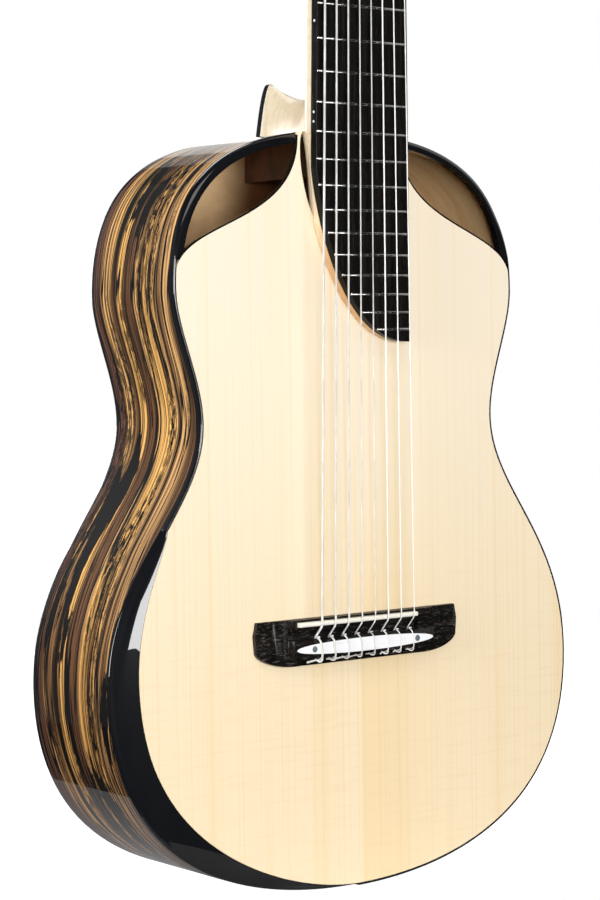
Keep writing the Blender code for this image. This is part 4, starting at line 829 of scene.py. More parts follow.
def metal(name: str, bright: Colour, dull: Colour, roughness: float) -> Clouded:
    """Describe polished metal with fine rubbing marks, dulled a little in soft random patches."""
    stops, rubbed = ((0.36, dull), (0.60, bright)), (0.6 * roughness, 1.5 * roughness)
    uniform, cloud, marks = {"Metallic": 1.0}, (130.0, 130.0, 130.0), (300.0, 2600.0, 300.0)
    return Clouded(name, stops, cloud, uniform, marks=marks, rubbed=rubbed, bump=(0.000005, 0.3))


@dataclass(frozen=True)
class WoundWire:
    """Silvered wire wound close round a core; the turns show as fine ridges."""

    name: str = "wound_silver"
    turns_per_metre: float = 5200.0

    def material(self) -> bpy.types.Material:
        """Lay out the nodes."""
        sheet = NodeSheet(self.name, Metallic=0.35, Roughness=0.30)
        grain = sheet.grain()
        cloud = sheet.noise(grain, (60.0, 60.0, 1.0))
        sheet.colour = sheet.ramp(cloud, [(0.38, (0.78, 0.76, 0.73)), (0.62, (0.93, 0.92, 0.90))])
        turn = sheet.math("MULTIPLY", sheet.part(grain, 0), self.turns_per_metre * 2 * math.pi)
        return sheet.done(sheet.math("SINE", turn), 0.00004, 0.7)


MAPLE = ((0.86, 0.74, 0.53), (0.70, 0.53, 0.33))
LACQUER = {"Roughness": 0.3, "Specular_IOR_Level": 0.05, "Coat_Weight": 1.0, "Coat_Roughness": 0.012, "Coat_IOR": 1.6}
CLEAR = {"Roughness": 0.18, "IOR": 1.45, "Transmission_Weight": 0.15, "Coat_Weight": 0.5}


class Look(Enum):
    """Every finish on the guitar, by what it is used for, with the record's material slot."""

    TOP = Spruce(), "spruce"
    SIDES = Streaked(), "ziricote"
    BACK = Streaked(name="streaked_back", seed=3.7), "ziricote"
    NECK = PlainWood("pale_maple", *MAPLE, figure=0.35, gloss=0.3, roughness=0.4), "maple"
    # Painted shade: the wedge's maple is multiplied to tan towards its lower end, where it lies in shade
    EXTENSION = (
        PlainWood("maple_painted_shade", *MAPLE, gloss=0.3, roughness=0.4, painted_shades=((2, 0.475, 0.400, (0.82, 0.60, 0.38)),)),
        "maple",
    )
    LINER = PlainWood("inner_veneer", (0.97, 0.70, 0.38), (0.88, 0.56, 0.27), (4.0, 60.0, 4.0)), "lining_wood"
    # Painted shade: darkens from x -50 mm to -12 mm and stays dark past the centre, standing in for the shadow of
    # soundboard and neck block
    LINER_SHADED = (
        PlainWood(
            "inner_veneer_shaded", (1.0, 0.70, 0.38), (0.92, 0.58, 0.29), (4.0, 60.0, 4.0),
            painted_shades=((0, -0.050, -0.012, (0.16, 0.09, 0.05)),),
        ),
        "lining_wood",
    )
    BRACE = PlainWood("brace_spruce", (0.82, 0.66, 0.44), (0.66, 0.48, 0.28), (70.0, 70.0, 3.0)), "lining_wood"
    CEDAR = PlainWood("cedar", (0.46, 0.26, 0.13), (0.30, 0.15, 0.07), (2.0, 60.0, 60.0)), "cedar"
    # Dark block wood with painted shade: it darkens towards the soundboard's face, standing in for the shadow in the
    # slot in front of it
    BLOCK = (
        PlainWood(
            "dark_block_painted_shade", (0.105, 0.036, 0.014), (0.045, 0.015, 0.006), (3.0, 70.0, 50.0), roughness=0.45,
            painted_shades=((1, -0.016, -0.033, (0.06, 0.05, 0.05)),),
        ),
        "cedar",
    )
    BOARD = Ebony("ebony_board", (420.0, 420.0, 9.0), 0.12, 0.08), "ebony"
    BRIDGE = Ebony("ebony_bridge", (30.0, 330.0, 330.0), 0.25, 0.75), "ebony"
    VENEER = Ebony("ebony_veneer", (300.0, 300.0, 8.0), 1.0, 0.2), "ebony"
    BLACK = (
        Clouded(
            "black_lacquer", ((0.35, (0.0025, 0.0028, 0.0040)), (0.65, (0.0050, 0.0052, 0.0065))),
            (40.0, 40.0, 12.0), LACQUER, 2.0, smooth=False, marks=(9.0, 9.0, 9.0), bump=(0.00005, 0.25),
        ),
        "ebony",
    )
    SADDLE = bone("bone", (0.90, 0.87, 0.79), (0.82, 0.75, 0.62), 0.32), "bone"
    CAP = bone("white_plate", (0.93, 0.93, 0.94), (0.86, 0.87, 0.89), 0.2), "bone"
    ROLLER = bone("cream_roller", (0.86, 0.81, 0.68), (0.78, 0.70, 0.54), 0.25), "brass"
    WHITE_LINE = PlainWood("white_line", (0.90, 0.86, 0.76), (0.80, 0.74, 0.62)), "maple"
    DOT = shell("grey_pearl", 500.0, (0.05, 0.07, 0.08), (0.13, 0.17, 0.18), (0.26, 0.31, 0.32)), "bone"
    BUTTON = (
        shell("pearl", 240.0, (0.42, 0.50, 0.56), (0.80, 0.80, 0.76), (0.66, 0.74, 0.76), (0.88, 0.82, 0.74)),
        "pearl_button",
    )
    BRASS = metal("brass", (0.86, 0.66, 0.32), (0.66, 0.46, 0.19), 0.18), "brass"
    STEEL = metal("fret_silver", (0.44, 0.43, 0.41), (0.26, 0.255, 0.25), 0.16), "brass"
    NYLON = (
        Clouded(
            "clear_nylon", ((0.4, (0.86, 0.84, 0.79)), (0.6, (0.95, 0.94, 0.90))), (200.0, 200.0, 30.0), CLEAR,
            2.0, smooth=False,
        ),
        "nylon",
    )
    WOUND = WoundWire(), "wound_wire"

    def __init__(self, finish: Any, slot: str) -> None:
        """Keep the finish and the slot under their names."""
        self.finish, self.slot = finish, slot

    def dress(self, obj: Piece) -> None:
        """Give a piece this finish's material, which is made the first time."""
        material = bpy.data.materials.get(self.finish.name) or self.finish.material()
        obj.data.materials.clear()
        obj.data.materials.append(material)


def deliver(obj: Piece, look: Look, *nodes: str, body: str = "guitar") -> None:
    """Dress a finished piece and hand it to the frame.

    Args:
        obj: The piece.
        look: Its finish.
        nodes: The part's nodes that it is shown instead of.
        body: The body that it moves with.
    """
    look.dress(obj)
    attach(obj, body)
    if nodes:
        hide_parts(*nodes)
    LOG.info("%s: %d faces on %s", obj.name, len(obj.data.polygons), body)


def redress(look: Look, *nodes: str) -> None:
    """Give a finish to nodes of the part that are shown as they are."""
    for name in nodes:
        look.dress(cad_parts[name])
        LOG.info("%s keeps its own shape", name)


# Body


@dataclass
class SoundBox:
    """Soundboard, sides, back and everything that binds their edges."""

    purfling: float = 0.0012
    strip: float = 0.0030
    liner_seam: float = 0.055
    veneer: float = 0.0006
    shell: float = 0.62  # share of the side's thickness that is figured wood

    def build(self) -> None:
        """Build every outer piece of the body."""
        self.soundboard()
        for side, word in SIDES:
            self.port_binding(side, word)
        for side, word in SIDES:
            self.rib(side, word)
            self.top_binding(side, word)
            self.port_rim(side, word)
        self.bevel()
        self.back_binding()
        for side, word in SIDES:
            self.back_half(side, word)
        for side, word in SIDES:
            self.back_liner(side, word)
        self.back_strips()

    def soundboard(self) -> None:
        """Build the top plate inside its bindings, ports, bevel and slots."""
        inset = BODY.binding + GAP
        high = BODY.length - inset
        edge = [p for p in BODY.port_edge(self.purfling) if p[1] < high - GAP]
        below = edge[0][1] - GAP
        low = [p for p, run in zip(BODY.inset(inset), BODY.runs) if run < BODY.port_from and p[1] < below]
        treble = low + edge + [(edge[-1][0], high)]
        bass = []
        for run in (r for r in BODY.runs if r < BODY.port_from):
            (x, z), (nx, nz) = BODY.spot(run)
            wide = (BODY.bevel_width(run) if run < BODY.bevel_length else BODY.binding) + GAP
            if z + nz * wide < below:
                bass.append((-(x + nx * wide), z + nz * wide))
        bass += [(-x, z) for x, z in edge] + [(-edge[-1][0], high)]
        top = plate("spruce_soundboard", treble + bass[:0:-1], 0.0, BODY.top)
        slot = BODY.slot_edge(True) + BODY.slot_edge(False)[-2:0:-1]
        cutters = [plate("slot", [(side * x, z) for x, z in slot], -0.01, 0.02) for side in (-1, 1)]
        deliver(worked(top, Change.CUT, *cutters), Look.TOP, "soundboard")

    def port_binding(self, side: int, word: str) -> None:
        """Build the thin dark strip along the soundboard's edge at one port."""
        section = ((0.0, BODY.top), (0.0, 0.0), (0.98, 0.0), (0.98, BODY.top))
        rings = [
            [at(side * between(s, ax, bx), d, between(s, az, bz)) for s, d in section]
            for (ax, az), (bx, bz) in list(zip(BODY.port_edge(), BODY.port_edge(self.purfling)))[2:-1]
        ]
        deliver(skin(f"port_edge_{word}", rings), Look.BLACK)

    def rib(self, side: int, word: str) -> None:
        """Build one bent side of figured wood and the pale wood that lines it."""
        shell, runs = self.shell * BODY.side, BODY.stops(GAP / 2, BODY.runs[-1] - GAP / 2)
        for name, outer, inner, look, nodes in (
            (f"rib_{word}", 0.0, shell, Look.SIDES, [f"side_{word}"]),
            (f"rib_liner_{word}", shell + 0.00002, BODY.side, Look.LINER, []),
        ):
            rings, grain = [], []
            for run in runs:
                bevelled = side < 0 and run < BODY.bevel_length
                front = (BODY.bevel_drop(run) if bevelled else BODY.binding_depth) + SLIVER
                back = BODY.back_depth(BODY.spot(run)[0][1]) - BODY.back_binding_depth - SLIVER
                section = [(outer, front), (outer, back), (inner, back), (inner, front)]
                rings.append([BODY.point(side, run, w, d) for w, d in section])
                grain.append([(run, d) for w, d in section])
            deliver(skin(name, rings, grain), look, *nodes)

    def eased_strip(self, width: float, depth: float, radius: float, steps: int = 5) -> list[Point]:
        """Draw a strip's section, as insets and depths, with its outer front corner rounded."""
        corner = arc((radius, radius), (radius, radius), -90, -180, steps)
        return [(width, depth), (width, 0.0)] + corner + [(0.0, depth)]

    def top_binding(self, side: int, word: str) -> None:
        """Build the binding of the soundboard's edge, its outer corner eased."""
        runs = BODY.stops(BODY.bevel_length if side < 0 else GAP / 2, BODY.port_from)
        section = self.eased_strip(BODY.binding, BODY.binding_depth, 0.0009)
        binding = skin(f"edge_binding_{word}", BODY.strip(side, runs, lambda run: section))
        deliver(binding, Look.BLACK, f"top_binding_{word}")

    def port_rim(self, side: int, word: str) -> None:
        """Build the broad polished rim over one port."""

        def section(run: float) -> list[Point]:
            """Draw the rim's section, rounder the further it is from the rim's lower end."""
            radius = 0.0050 * max(0.18, min(1.0, (run - BODY.port_from) / 0.040))
            corner = self.eased_strip(BODY.rim, BODY.binding_depth, radius, 10)[2:]
            return [(BODY.rim, BODY.binding_depth), (BODY.rim, 0.0005), (BODY.rim - 0.0005, 0.0)] + corner

        rim = skin(f"port_cap_{word}", BODY.strip(side, BODY.stops(BODY.port_from, BODY.port_to), section))
        edge = [(side * (x + GAP), z + GAP) for x, z in BODY.port_edge()]
        low = edge[0][1] - 0.05
        loop = edge + [(0.0, BODY.length + 0.02), (0.0, low), (edge[0][0], low)]
        worked(rim, Change.CUT, plate("soundboard_side", loop, -0.01, BODY.top + GAP))
        deliver(rim, Look.BLACK, f"port_rim_{word}")

    def bevel(self) -> None:
        """Build the arm bevel, one smooth roll from the soundboard down to the side."""
        rings = BODY.strip(-1, BODY.stops(0.0, BODY.bevel_length), self.rolled)
        deliver(skin("arm_rest", rings, degrees=50), Look.BLACK, "arm_bevel")

    def rolled(self, run: float) -> list[Point]:
        """Draw the arm bevel's slightly domed slope and the tight corner that takes it down to the side.

        Args:
            run: Distance along the outline from the tail's centre.

        Returns:
            Inset and depth of each point.
        """
        wide, drop = BODY.bevel_width(run), BODY.bevel_drop(run)
        foot, radius = drop - 0.0006, min(0.0020, 0.6 * wide)
        flat, low = wide - radius, foot - 0.97 * radius
        first = min(0.105, 0.5 * low / flat)
        dome = (low - first * flat) / flat**2
        section = [(wide - s, first * s + dome * s * s) for s in (flat * i / 12 for i in range(13))]
        start = math.degrees(math.atan(first + 2 * dome * flat))
        section += arc((radius, foot), (radius, radius), -90 - start, -180, 8)[1:]
        return section + [(0.0, drop), (wide, drop)]

    def back_binding(self) -> None:
        """Build the binding of the back's edge, all the way round."""
        section = self.eased_strip(BODY.binding, BODY.back_binding_depth, 0.0014)
        rings = []
        for side, run in [(1, run) for run in BODY.runs] + [(-1, run) for run in BODY.runs[-2:0:-1]]:
            (x, z), (nx, nz) = BODY.spot(run)
            depth = BODY.back_depth(z)
            rings.append([at(side * (x + nx * w), depth - d, z + nz * w) for w, d in section])
        deliver(skin("back_edge_binding", rings, looped=True), Look.BLACK, "back_binding")

    def back_rows(self, reach: float) -> list[tuple[float, float, float, float]]:
        """List x and z of the back's edge beyond a reach, with the depths of its two faces there."""
        edge = (p for p in BODY.inset(BODY.binding + SLIVER) if p[0] > reach)
        return [(x, z, BODY.back_depth(z) - BODY.back, BODY.back_depth(z)) for x, z in edge]

    def back_half(self, side: int, word: str) -> None:
        """Build one of the two book-matched halves of the back."""
        rings, grain = [], []
        for x, z, inner, outer in self.back_rows(self.strip / 2 + GAP):
            line = slab(self.strip / 2, x, 6, outer, inner + self.veneer + SLIVER)
            rings.append([at(side * w, d, z) for w, d in line])
            grain.append([(z, 0.02 + w * 0.9) for w, d in line])
        deliver(skin(f"back_half_{word}", rings, grain), Look.BACK, *(["back_plate"] if side > 0 else []))

    def back_liner(self, side: int, word: str) -> None:
        """Build half of the pale veneer that lines the back; the bass piece carries painted shade towards the centre
        line.
        """
        rings = [
            [at(w, d, z) for w, d in slab(self.liner_seam, side * x, 8, inner + self.veneer, inner - SLIVER)]
            for x, z, inner, outer in self.back_rows(self.liner_seam + 0.003)
        ]
        deliver(skin(f"back_liner_{word}", rings), Look.LINER_SHADED if side < 0 else Look.LINER)

    def back_strips(self) -> None:
        """Build the two dark lines and the pale one between the halves of the back."""
        heights = [between(i / 40, BODY.binding, BODY.length - BODY.binding) for i in range(41)]
        for k, (name, look) in enumerate((
            ("back_strip_dark_bass", Look.BLACK), ("back_strip_pale", Look.WHITE_LINE),
            ("back_strip_dark_treble", Look.BLACK),
        )):
            start, end = (self.strip * (share / 3 - 0.5) for share in (k, k + 1))
            rings = []
            for z in heights:
                outer = BODY.back_depth(z)
                line = slab(start, end, 1, outer, outer - BODY.back + self.veneer + SLIVER)
                rings.append([at(w, d, z) for w, d in line])
            deliver(skin(name, rings), look)


@dataclass
class Inside:
    """What stiffens the body inside, seen through the ports."""

    kerf: float = 0.0012
    tooth: float = 0.0052
    start: float = 0.0306
    wide: float = 0.0050
    tall: float = 0.0140
    web: float = 0.0012

    def build(self) -> None:
        """Build the kerfed linings and dress the blocks, bars and braces."""
        self.lining("top_kerfing", "top_lining", BODY.port_from, False)
        end = BODY.run_at(lambda x, z: z > BODY.bout_at and x <= 0.0553)
        self.lining("back_kerfing", "back_lining", end, True)
        fans, ladders = ([f"{row}_brace_{i}" for i in range(1, end)] for row, end in (("fan", 6), ("back", 4)))
        redress(Look.BRACE, *fans, "harmonic_bar", *ladders)
        redress(Look.CEDAR, "tail_block")
        # The neck bar wears the block wood and its painted shade too, so that what shows through the leaf slot reads
        # dark as if in shadow
        redress(Look.BLOCK, "neck_block", "neck_bar")
        redress(Look.NECK, "bridge_patch")

    def lining(self, name: str, node: str, end: float, rear: bool) -> None:
        """Build one lining as a row of small glued teeth.

        Args:
            name: The piece's name.
            node: The part's node that it is shown instead of.
            end: How far up both sides it runs.
            rear: Whether it lines the back's edge rather than the soundboard's.
        """
        teeth, run = [], self.start
        while run + self.tooth < end - 0.001:
            for side in (-1, 1):
                rings = []
                for stop in (run, run + self.tooth):
                    line = self.section(side, stop, rear)
                    rings.append([BODY.point(side, stop, BODY.side + GAP + w, d) for w, d in line])
                teeth.append(skin("tooth", rings))
            run += self.tooth + self.kerf
        deliver(merged(name, *teeth), Look.BRACE, node)

    def section(self, side: int, run: float, rear: bool) -> list[Point]:
        """Draw a tooth's section: square at its glued edge, tapered to the thin web at its foot.

        Args:
            side: 1 for the treble side, -1 for the bass side.
            run: Distance along the outline from the tail's centre.
            rear: Whether it lines the back's edge.

        Returns:
            Inset and depth of each point.
        """
        if rear:
            base, reach = BODY.back_depth(BODY.spot(run)[0][1]) - BODY.back - GAP, -self.tall
            foot = base + reach
        else:
            base, reach = BODY.top + GAP, self.tall
            foot = BODY.top + 0.95 * reach
            if side < 0 and run < BODY.bevel_length and BODY.bevel_width(run) > BODY.side:
                base = BODY.bevel_drop(run) + 2 * GAP
        return [(0.0, base), (self.wide, base), (self.wide, base + 0.4 * reach), (self.web, foot), (0.0, foot)]


# Neck


@dataclass
class Neck:
    """Fingerboard with its frets and dots, and the shaft, heel and raised extension under it."""

    scale: float = 0.640
    body_fret_at: float = 0.5051
    nut_at: float = 0.8251
    nut_length: float = 0.0050
    nut_width: float = 0.0700
    body_width: float = 0.0785
    thickness: float = 0.0060
    end_height: float = 0.0120
    tilt: float = math.radians(1.0)
    fret_count: int = 21
    fret_width: float = 0.0020
    fret_height: float = 0.0010
    fret_foot: float = 0.0006
    past_last_fret: float = 0.0084
    heel_cap_thickness: float = 0.0050
    heel_cap_width: float = 0.0206
    heel_cap_length: float = 0.0390
    heel_width: float = 0.0690
    heel_line: float = 0.0010
    dot_radius: float = 0.0009
    dot_pitch: float = 0.0062
    dots: tuple[tuple[int, int], ...] = ((5, 1), (7, 1), (9, 1), (12, 2))
    end_at: float = field(init=False)

    def __post_init__(self) -> None:
        """Find the board's lower end from its last fret and set its frame."""
        self.end_at = self.fret_at(self.fret_count) - self.past_last_fret
        lift = self.end_height - self.thickness
        self.frame = shift(0, FACE - lift, self.end_at) @ Matrix.Rotation(self.tilt, 4, "X") @ ON_FACE

    def fret_at(self, number: int) -> float:
        """Give a fret's height above the tail; the twelfth halves the scale."""
        return self.body_fret_at + self.scale * (2 ** (-number / 12) - 0.5)

    def half(self, z: float) -> float:
        """Give half the board's width at a height."""
        grow = (self.body_width - self.nut_width) / 2 / (self.nut_at - self.body_fret_at)
        return self.nut_width / 2 + grow * (self.nut_at - z)

    def height(self, z: float) -> float:
        """Give the height of the board's face above the soundboard."""
        return self.end_height + math.tan(self.tilt) * (z - self.end_at)

    def end_curve(self) -> list[Point]:
        """Draw the board's slanted low end, from the bass edge to the treble corner."""
        turn, low = self.half(self.end_at + 0.115), self.half(self.end_at)
        return bezier((-turn, 0.115), (-0.0349, 0.0748), (-0.0107, -0.0020), (low, 0.0), 48)

    def build(self) -> None:
        """Build every piece of the neck."""
        self.board()
        for number in range(1, self.fret_count + 1):
            self.fret(number)
        self.side_dots()
        self.wood()
        self.extension()
        self.cap()

    def board(self) -> None:
        """Build the ebony board with its edges eased."""
        top, half = self.nut_at - GAP - self.end_at, self.half(self.nut_at)
        outline = [(-half, top)] + self.end_curve() + [(half, top)]
        board = rounded(prism("ebony_fingerboard", outline, 0.0, self.thickness, self.frame), 0.0004)
        deliver(board, Look.BOARD, "fingerboard")

    def fret(self, number: int) -> None:
        """Lay one crowned fret wire, cut where the board's edge or slanted end comes."""
        up, curve = self.fret_at(number) - self.end_at, self.end_curve()
        right = self.half(self.fret_at(number))
        left = -right
        for (ax, az), (bx, bz) in zip(curve, curve[1:]):
            if min(az, bz) <= up <= max(az, bz) and ax < 0.9 * self.half(self.end_at):
                left = max(left, between((up - az) / (bz - az), ax, bx))
        half, rings = self.fret_width / 2, []
        for x, rise in ((left + 0.0003, 0.25), (left + 0.0010, 1.0), (right - 0.0010, 1.0), (right - 0.0003, 0.25)):
            tall = rise * self.fret_height
            ring = [(-half, -self.fret_foot), (half, -self.fret_foot)]
            ring += arc((0.0, 0.15 * tall), (half, 0.85 * tall), 0, 180, 8)
            rings.append([self.frame @ Vector((x, up + y, self.thickness + h)) for y, h in ring])
        deliver(skin(f"fret_{number}", rings, degrees=50), Look.STEEL)

    def side_dots(self) -> None:
        """Set the small white dots in the board's bass edge."""
        profile = [(self.dot_radius, -0.00012), (self.dot_radius, 0.0015)]
        for number, count in self.dots:
            middle = (self.fret_at(number) + self.fret_at(number - 1)) / 2
            for k in range(count):
                z = middle + (k - (count - 1) / 2) * self.dot_pitch
                place = self.frame @ shift(-self.half(z), z - self.end_at, self.thickness / 2)
                place = place @ Matrix.Rotation(math.pi / 2, 4, "Y")
                deliver(turned(f"side_dot_{number}_{k + 1}", profile, 16, place), Look.CAP)

    def tongue(self, half: float, reach: float, roundness: float) -> list[Point]:
        """Draw a pointed tongue from inside the body's edge to its tip."""
        shares = [math.sin(math.pi / 2 * i / 14) for i in range(-14, 15)]
        tip = [(half * s, BODY.length + reach * (1 - abs(s) ** (1.8 + 0.6 * roundness))) for s in shares]
        return [(-half, BODY.length - 0.02)] + tip + [(half, BODY.length - 0.02)]

    def wood(self) -> None:
        """Build the shaft and the heel in one piece."""
        low, end = BODY.length - 0.004, self.nut_at + self.nut_length + GAP
        rings = []
        for z in (between(i / 30, low, end) for i in range(31)):
            half = self.half(min(z, self.nut_at)) - 0.0001
            front = -(self.height(z) - self.thickness) + GAP
            thick = 0.0155 + 0.0020 * (end - z) / (end - low)
            ring = []
            for x, y in arc((0.0, 0.0), (1.0, 1.0), 0, 180, 30):
                wide = math.copysign(abs(x) ** 0.80, x)
                ring.append(at(half * wide, front + 0.003 + (thick - 0.003) * max(y, 0.0) ** 0.85, z))
            rings.append(ring + [at(-half, front, z), at(half, front, z)])
        shaft = skin("maple_neck", rings)
        cap_depth = BODY.back_depth(BODY.length) - self.heel_cap_thickness - self.heel_line
        start, first = (cap_depth, self.heel_cap_length - 0.001), (0.70 * cap_depth, self.heel_cap_length - 0.014)
        rings = []
        for depth, reach in bezier(start, first, (0.30 * cap_depth, 0.0080), (-0.005, 0.0600), 28):
            share = (cap_depth - depth) / cap_depth
            half = between(share**1.6, self.heel_cap_width, self.heel_width) / 2
            rings.append([at(x, depth, z) for x, z in self.tongue(half, reach, share)])
        worked(shaft, Change.JOIN, skin("heel", rings))
        worked(shaft, Change.CUT, self.body_room())
        deliver(shaded(shaft, 32), Look.NECK, "neck")

    def body_room(self) -> Piece:
        """Make the space that the body takes up, with a gap round it."""
        outer = BODY.inset(-GAP)
        return plate("body_room", outer + mirrored(outer)[1:-1], -GAP, BODY.depth + 0.05)

    def extension(self) -> None:
        """Build the wedge between the board and the soundboard, in maple with painted shade towards its lower end."""
        inner = [(x - GAP, z - self.end_at) for x, z in BODY.slot_edge(False)]
        tip_x, tip_z = inner[-1]
        curve = [(x + GAP, z + GAP) for x, z in self.end_curve()[:-1] if z < tip_z - 0.003]
        foot, middle = tip_z - 0.030, tip_z - 0.012
        wide = self.half(foot + self.end_at) - GAP
        top = BODY.length + 0.012 - self.end_at
        loop = [(-inner[0][0], top)] + [(-x, z) for x, z in inner] + curve
        loop += [(self.half(self.end_at) - GAP, 2 * GAP)]
        loop += bezier((wide, foot), (wide, middle), (tip_x, middle), (tip_x, tip_z), 12)
        loop += inner[-2::-1] + [(inner[0][0], top)]
        wedge = prism("neck_extension", loop, -0.03, -GAP, self.frame)
        below = box("below", (-0.2, FACE - GAP, 0.3), (0.2, FACE + 0.1, 0.6))
        deliver(worked(wedge, Change.CUT, below), Look.EXTENSION)

    def cap(self) -> None:
        """Build the pale line under the heel's cap and the dark cap."""
        inner = BODY.back_depth(BODY.length) - self.heel_cap_thickness
        loop = self.tongue(self.heel_cap_width / 2, self.heel_cap_length, 0.0)
        line = plate("heel_line", loop, inner - self.heel_line, inner)
        deliver(worked(line, Change.CUT, self.body_room()), Look.WHITE_LINE)
        cap = plate("ebony_heel_cap", loop, inner, inner + self.heel_cap_thickness)
        deliver(rounded(worked(cap, Change.CUT, self.body_room()), 0.0006), Look.BLACK, "heel_cap")


NECK = Neck()


# Bridge and strings


def string_x(number: int, spread: float) -> float:
    """Give a string's distance from the centre line, within the spread of all eight."""
    return spread / 2 - spread * (number - 1) / 7


@dataclass
class Bridge:
    """Ebony bridge with its saddle, white plate and pearl dots."""

    width: float = 0.1740
    top: float = 0.1860
    length: float = 0.0318
    saddle_at: float = 0.1819
    saddle_height: float = 0.0140
    saddle_half: float = 0.0015
    saddle_crown: float = 0.0011
    block_height: float = 0.0104
    block_half: float = 0.0600
    ridge_height: float = 0.0090
    floor: float = 0.0045
    wing: float = 0.0044
    wing_tip: float = 0.0032
    tie_low: float = 0.1860 - 0.0318 + 0.0048
    tie_length: float = 0.0125
    channel: float = 0.0060
    spread: float = 0.0795
    hole_height: float = 0.0062
    plate_half: float = 0.0585
    plate_height: float = 0.0046
    plate_thickness: float = 0.0010
    dot_at: float = 0.0444

    def build(self) -> None:
        """Build the bridge, the saddle, the plate and its dots."""
        self.wood()
        self.saddle()
        self.plate_and_dots()

    def wood(self) -> None:
        """Build the block and its wings, with the slot, the channel and the tie holes."""
        half, top, low = self.width / 2, self.top, self.top - self.length
        right = [(half - 0.002, top - 0.001), (half, top - 0.010), (half - 0.001, low + 0.010)]
        corner = ((half - 0.002, low + 0.0085), (half - 0.006, low + 0.004), (half - 0.018, low), (half - 0.030, low))
        right += bezier(*corner, 8)
        blank = plate("ebony_bridge", right + mirrored(right), -self.block_height - 0.002, -GAP)
        wing, tip, block = self.wing, self.wing_tip, self.block_half
        slope = bezier((half, tip), (half - 0.010, wing), (block + 0.012, wing), (block + 0.006, wing), 8)
        rise = ((block + 0.006, wing), (block + 0.002, wing), (block, wing + 0.003), (block, self.block_height))
        view = [(half + 0.01, -0.001), (half + 0.01, tip)] + slope + bezier(*rise, 8)[1:]
        middle = shift(0, FACE, (top + low) / 2) @ FROM_ABOVE
        worked(blank, Change.TRIM, prism("rise", view + mirrored(view), -self.length, self.length, middle))
        tie_low, tie_high, saddle = self.tie_low, self.tie_low + self.tie_length, self.saddle_at
        cutters = [
            box(name, (left, FACE - 0.03, start), (right, FACE - height, end))
            for name, left, right, height, start, end in (
                ("ridge_step", -1, 1, self.ridge_height, tie_high, top + 0.01),
                ("foot_step", -1, 1, self.floor, low - 0.01, tie_low),
                ("channel", -0.0620, 0.0470, self.floor, tie_high, tie_high + self.channel),
                ("slot", -0.0568, 0.0446, 0.0035, saddle - 0.0018, saddle + 0.0018),
            )
        ]
        rounded(worked(blank, Change.CUT, *cutters), 0.0005, 2, 35)
        for number in STRINGS:
            hole = STRING_RADII[number - 1] + 1.5 * GAP
            place = shift(string_x(number, self.spread), FACE - self.hole_height)
            worked(blank, Change.CUT, turned("tie_hole", [(hole, low), (hole, tie_high + 0.002)], 20, place))
        deliver(blank, Look.BRIDGE, "bridge")

    def saddle(self) -> None:
        """Build the bone saddle with a rounded crown."""
        half, crown = self.saddle_half, self.saddle_crown
        middle = self.saddle_height - max(STRING_RADII) - GAP - crown
        section = [(-half, 0.0038)] + arc((0.0, middle), (half, crown), 180, 0, 8) + [(half, 0.0038)]
        rings = [[at(x, -h, self.saddle_at + z) for z, h in section] for x in (-0.0565, 0.0443)]
        deliver(rounded(skin("bone_saddle", rings), 0.0003), Look.SADDLE, "saddle")

    def plate_and_dots(self) -> None:
        """Build the pointed white plate on the tie block and a pearl dot near each of its ends."""
        middle, front = self.tie_low + self.tie_length / 2, -self.block_height - GAP
        shares = arc((0.0, 0.0), (1.0, 1.0), 0, 180, 60)
        edge = [(-self.plate_half * x, self.plate_height * max(y, 0.0) ** 0.9) for x, y in shares]
        loop = [(x, middle + z) for x, z in edge] + [(x, middle - z) for x, z in edge[-2:0:-1]]
        white = rounded(plate("white_tie_plate", loop, front - self.plate_thickness, front), 0.0003)
        deliver(white, Look.CAP, "tie_block_cap")
        profile = [(0.0021, -0.0004), (0.0021, 0.00004), (0.0017, 0.00012), (0.0008, 0.00018)]
        for side, word in SIDES:
            place = shift(side * self.dot_at, FACE + front - self.plate_thickness, middle) @ ON_FACE
            deliver(turned(f"pearl_dot_{word}", profile, 28, place), Look.DOT)


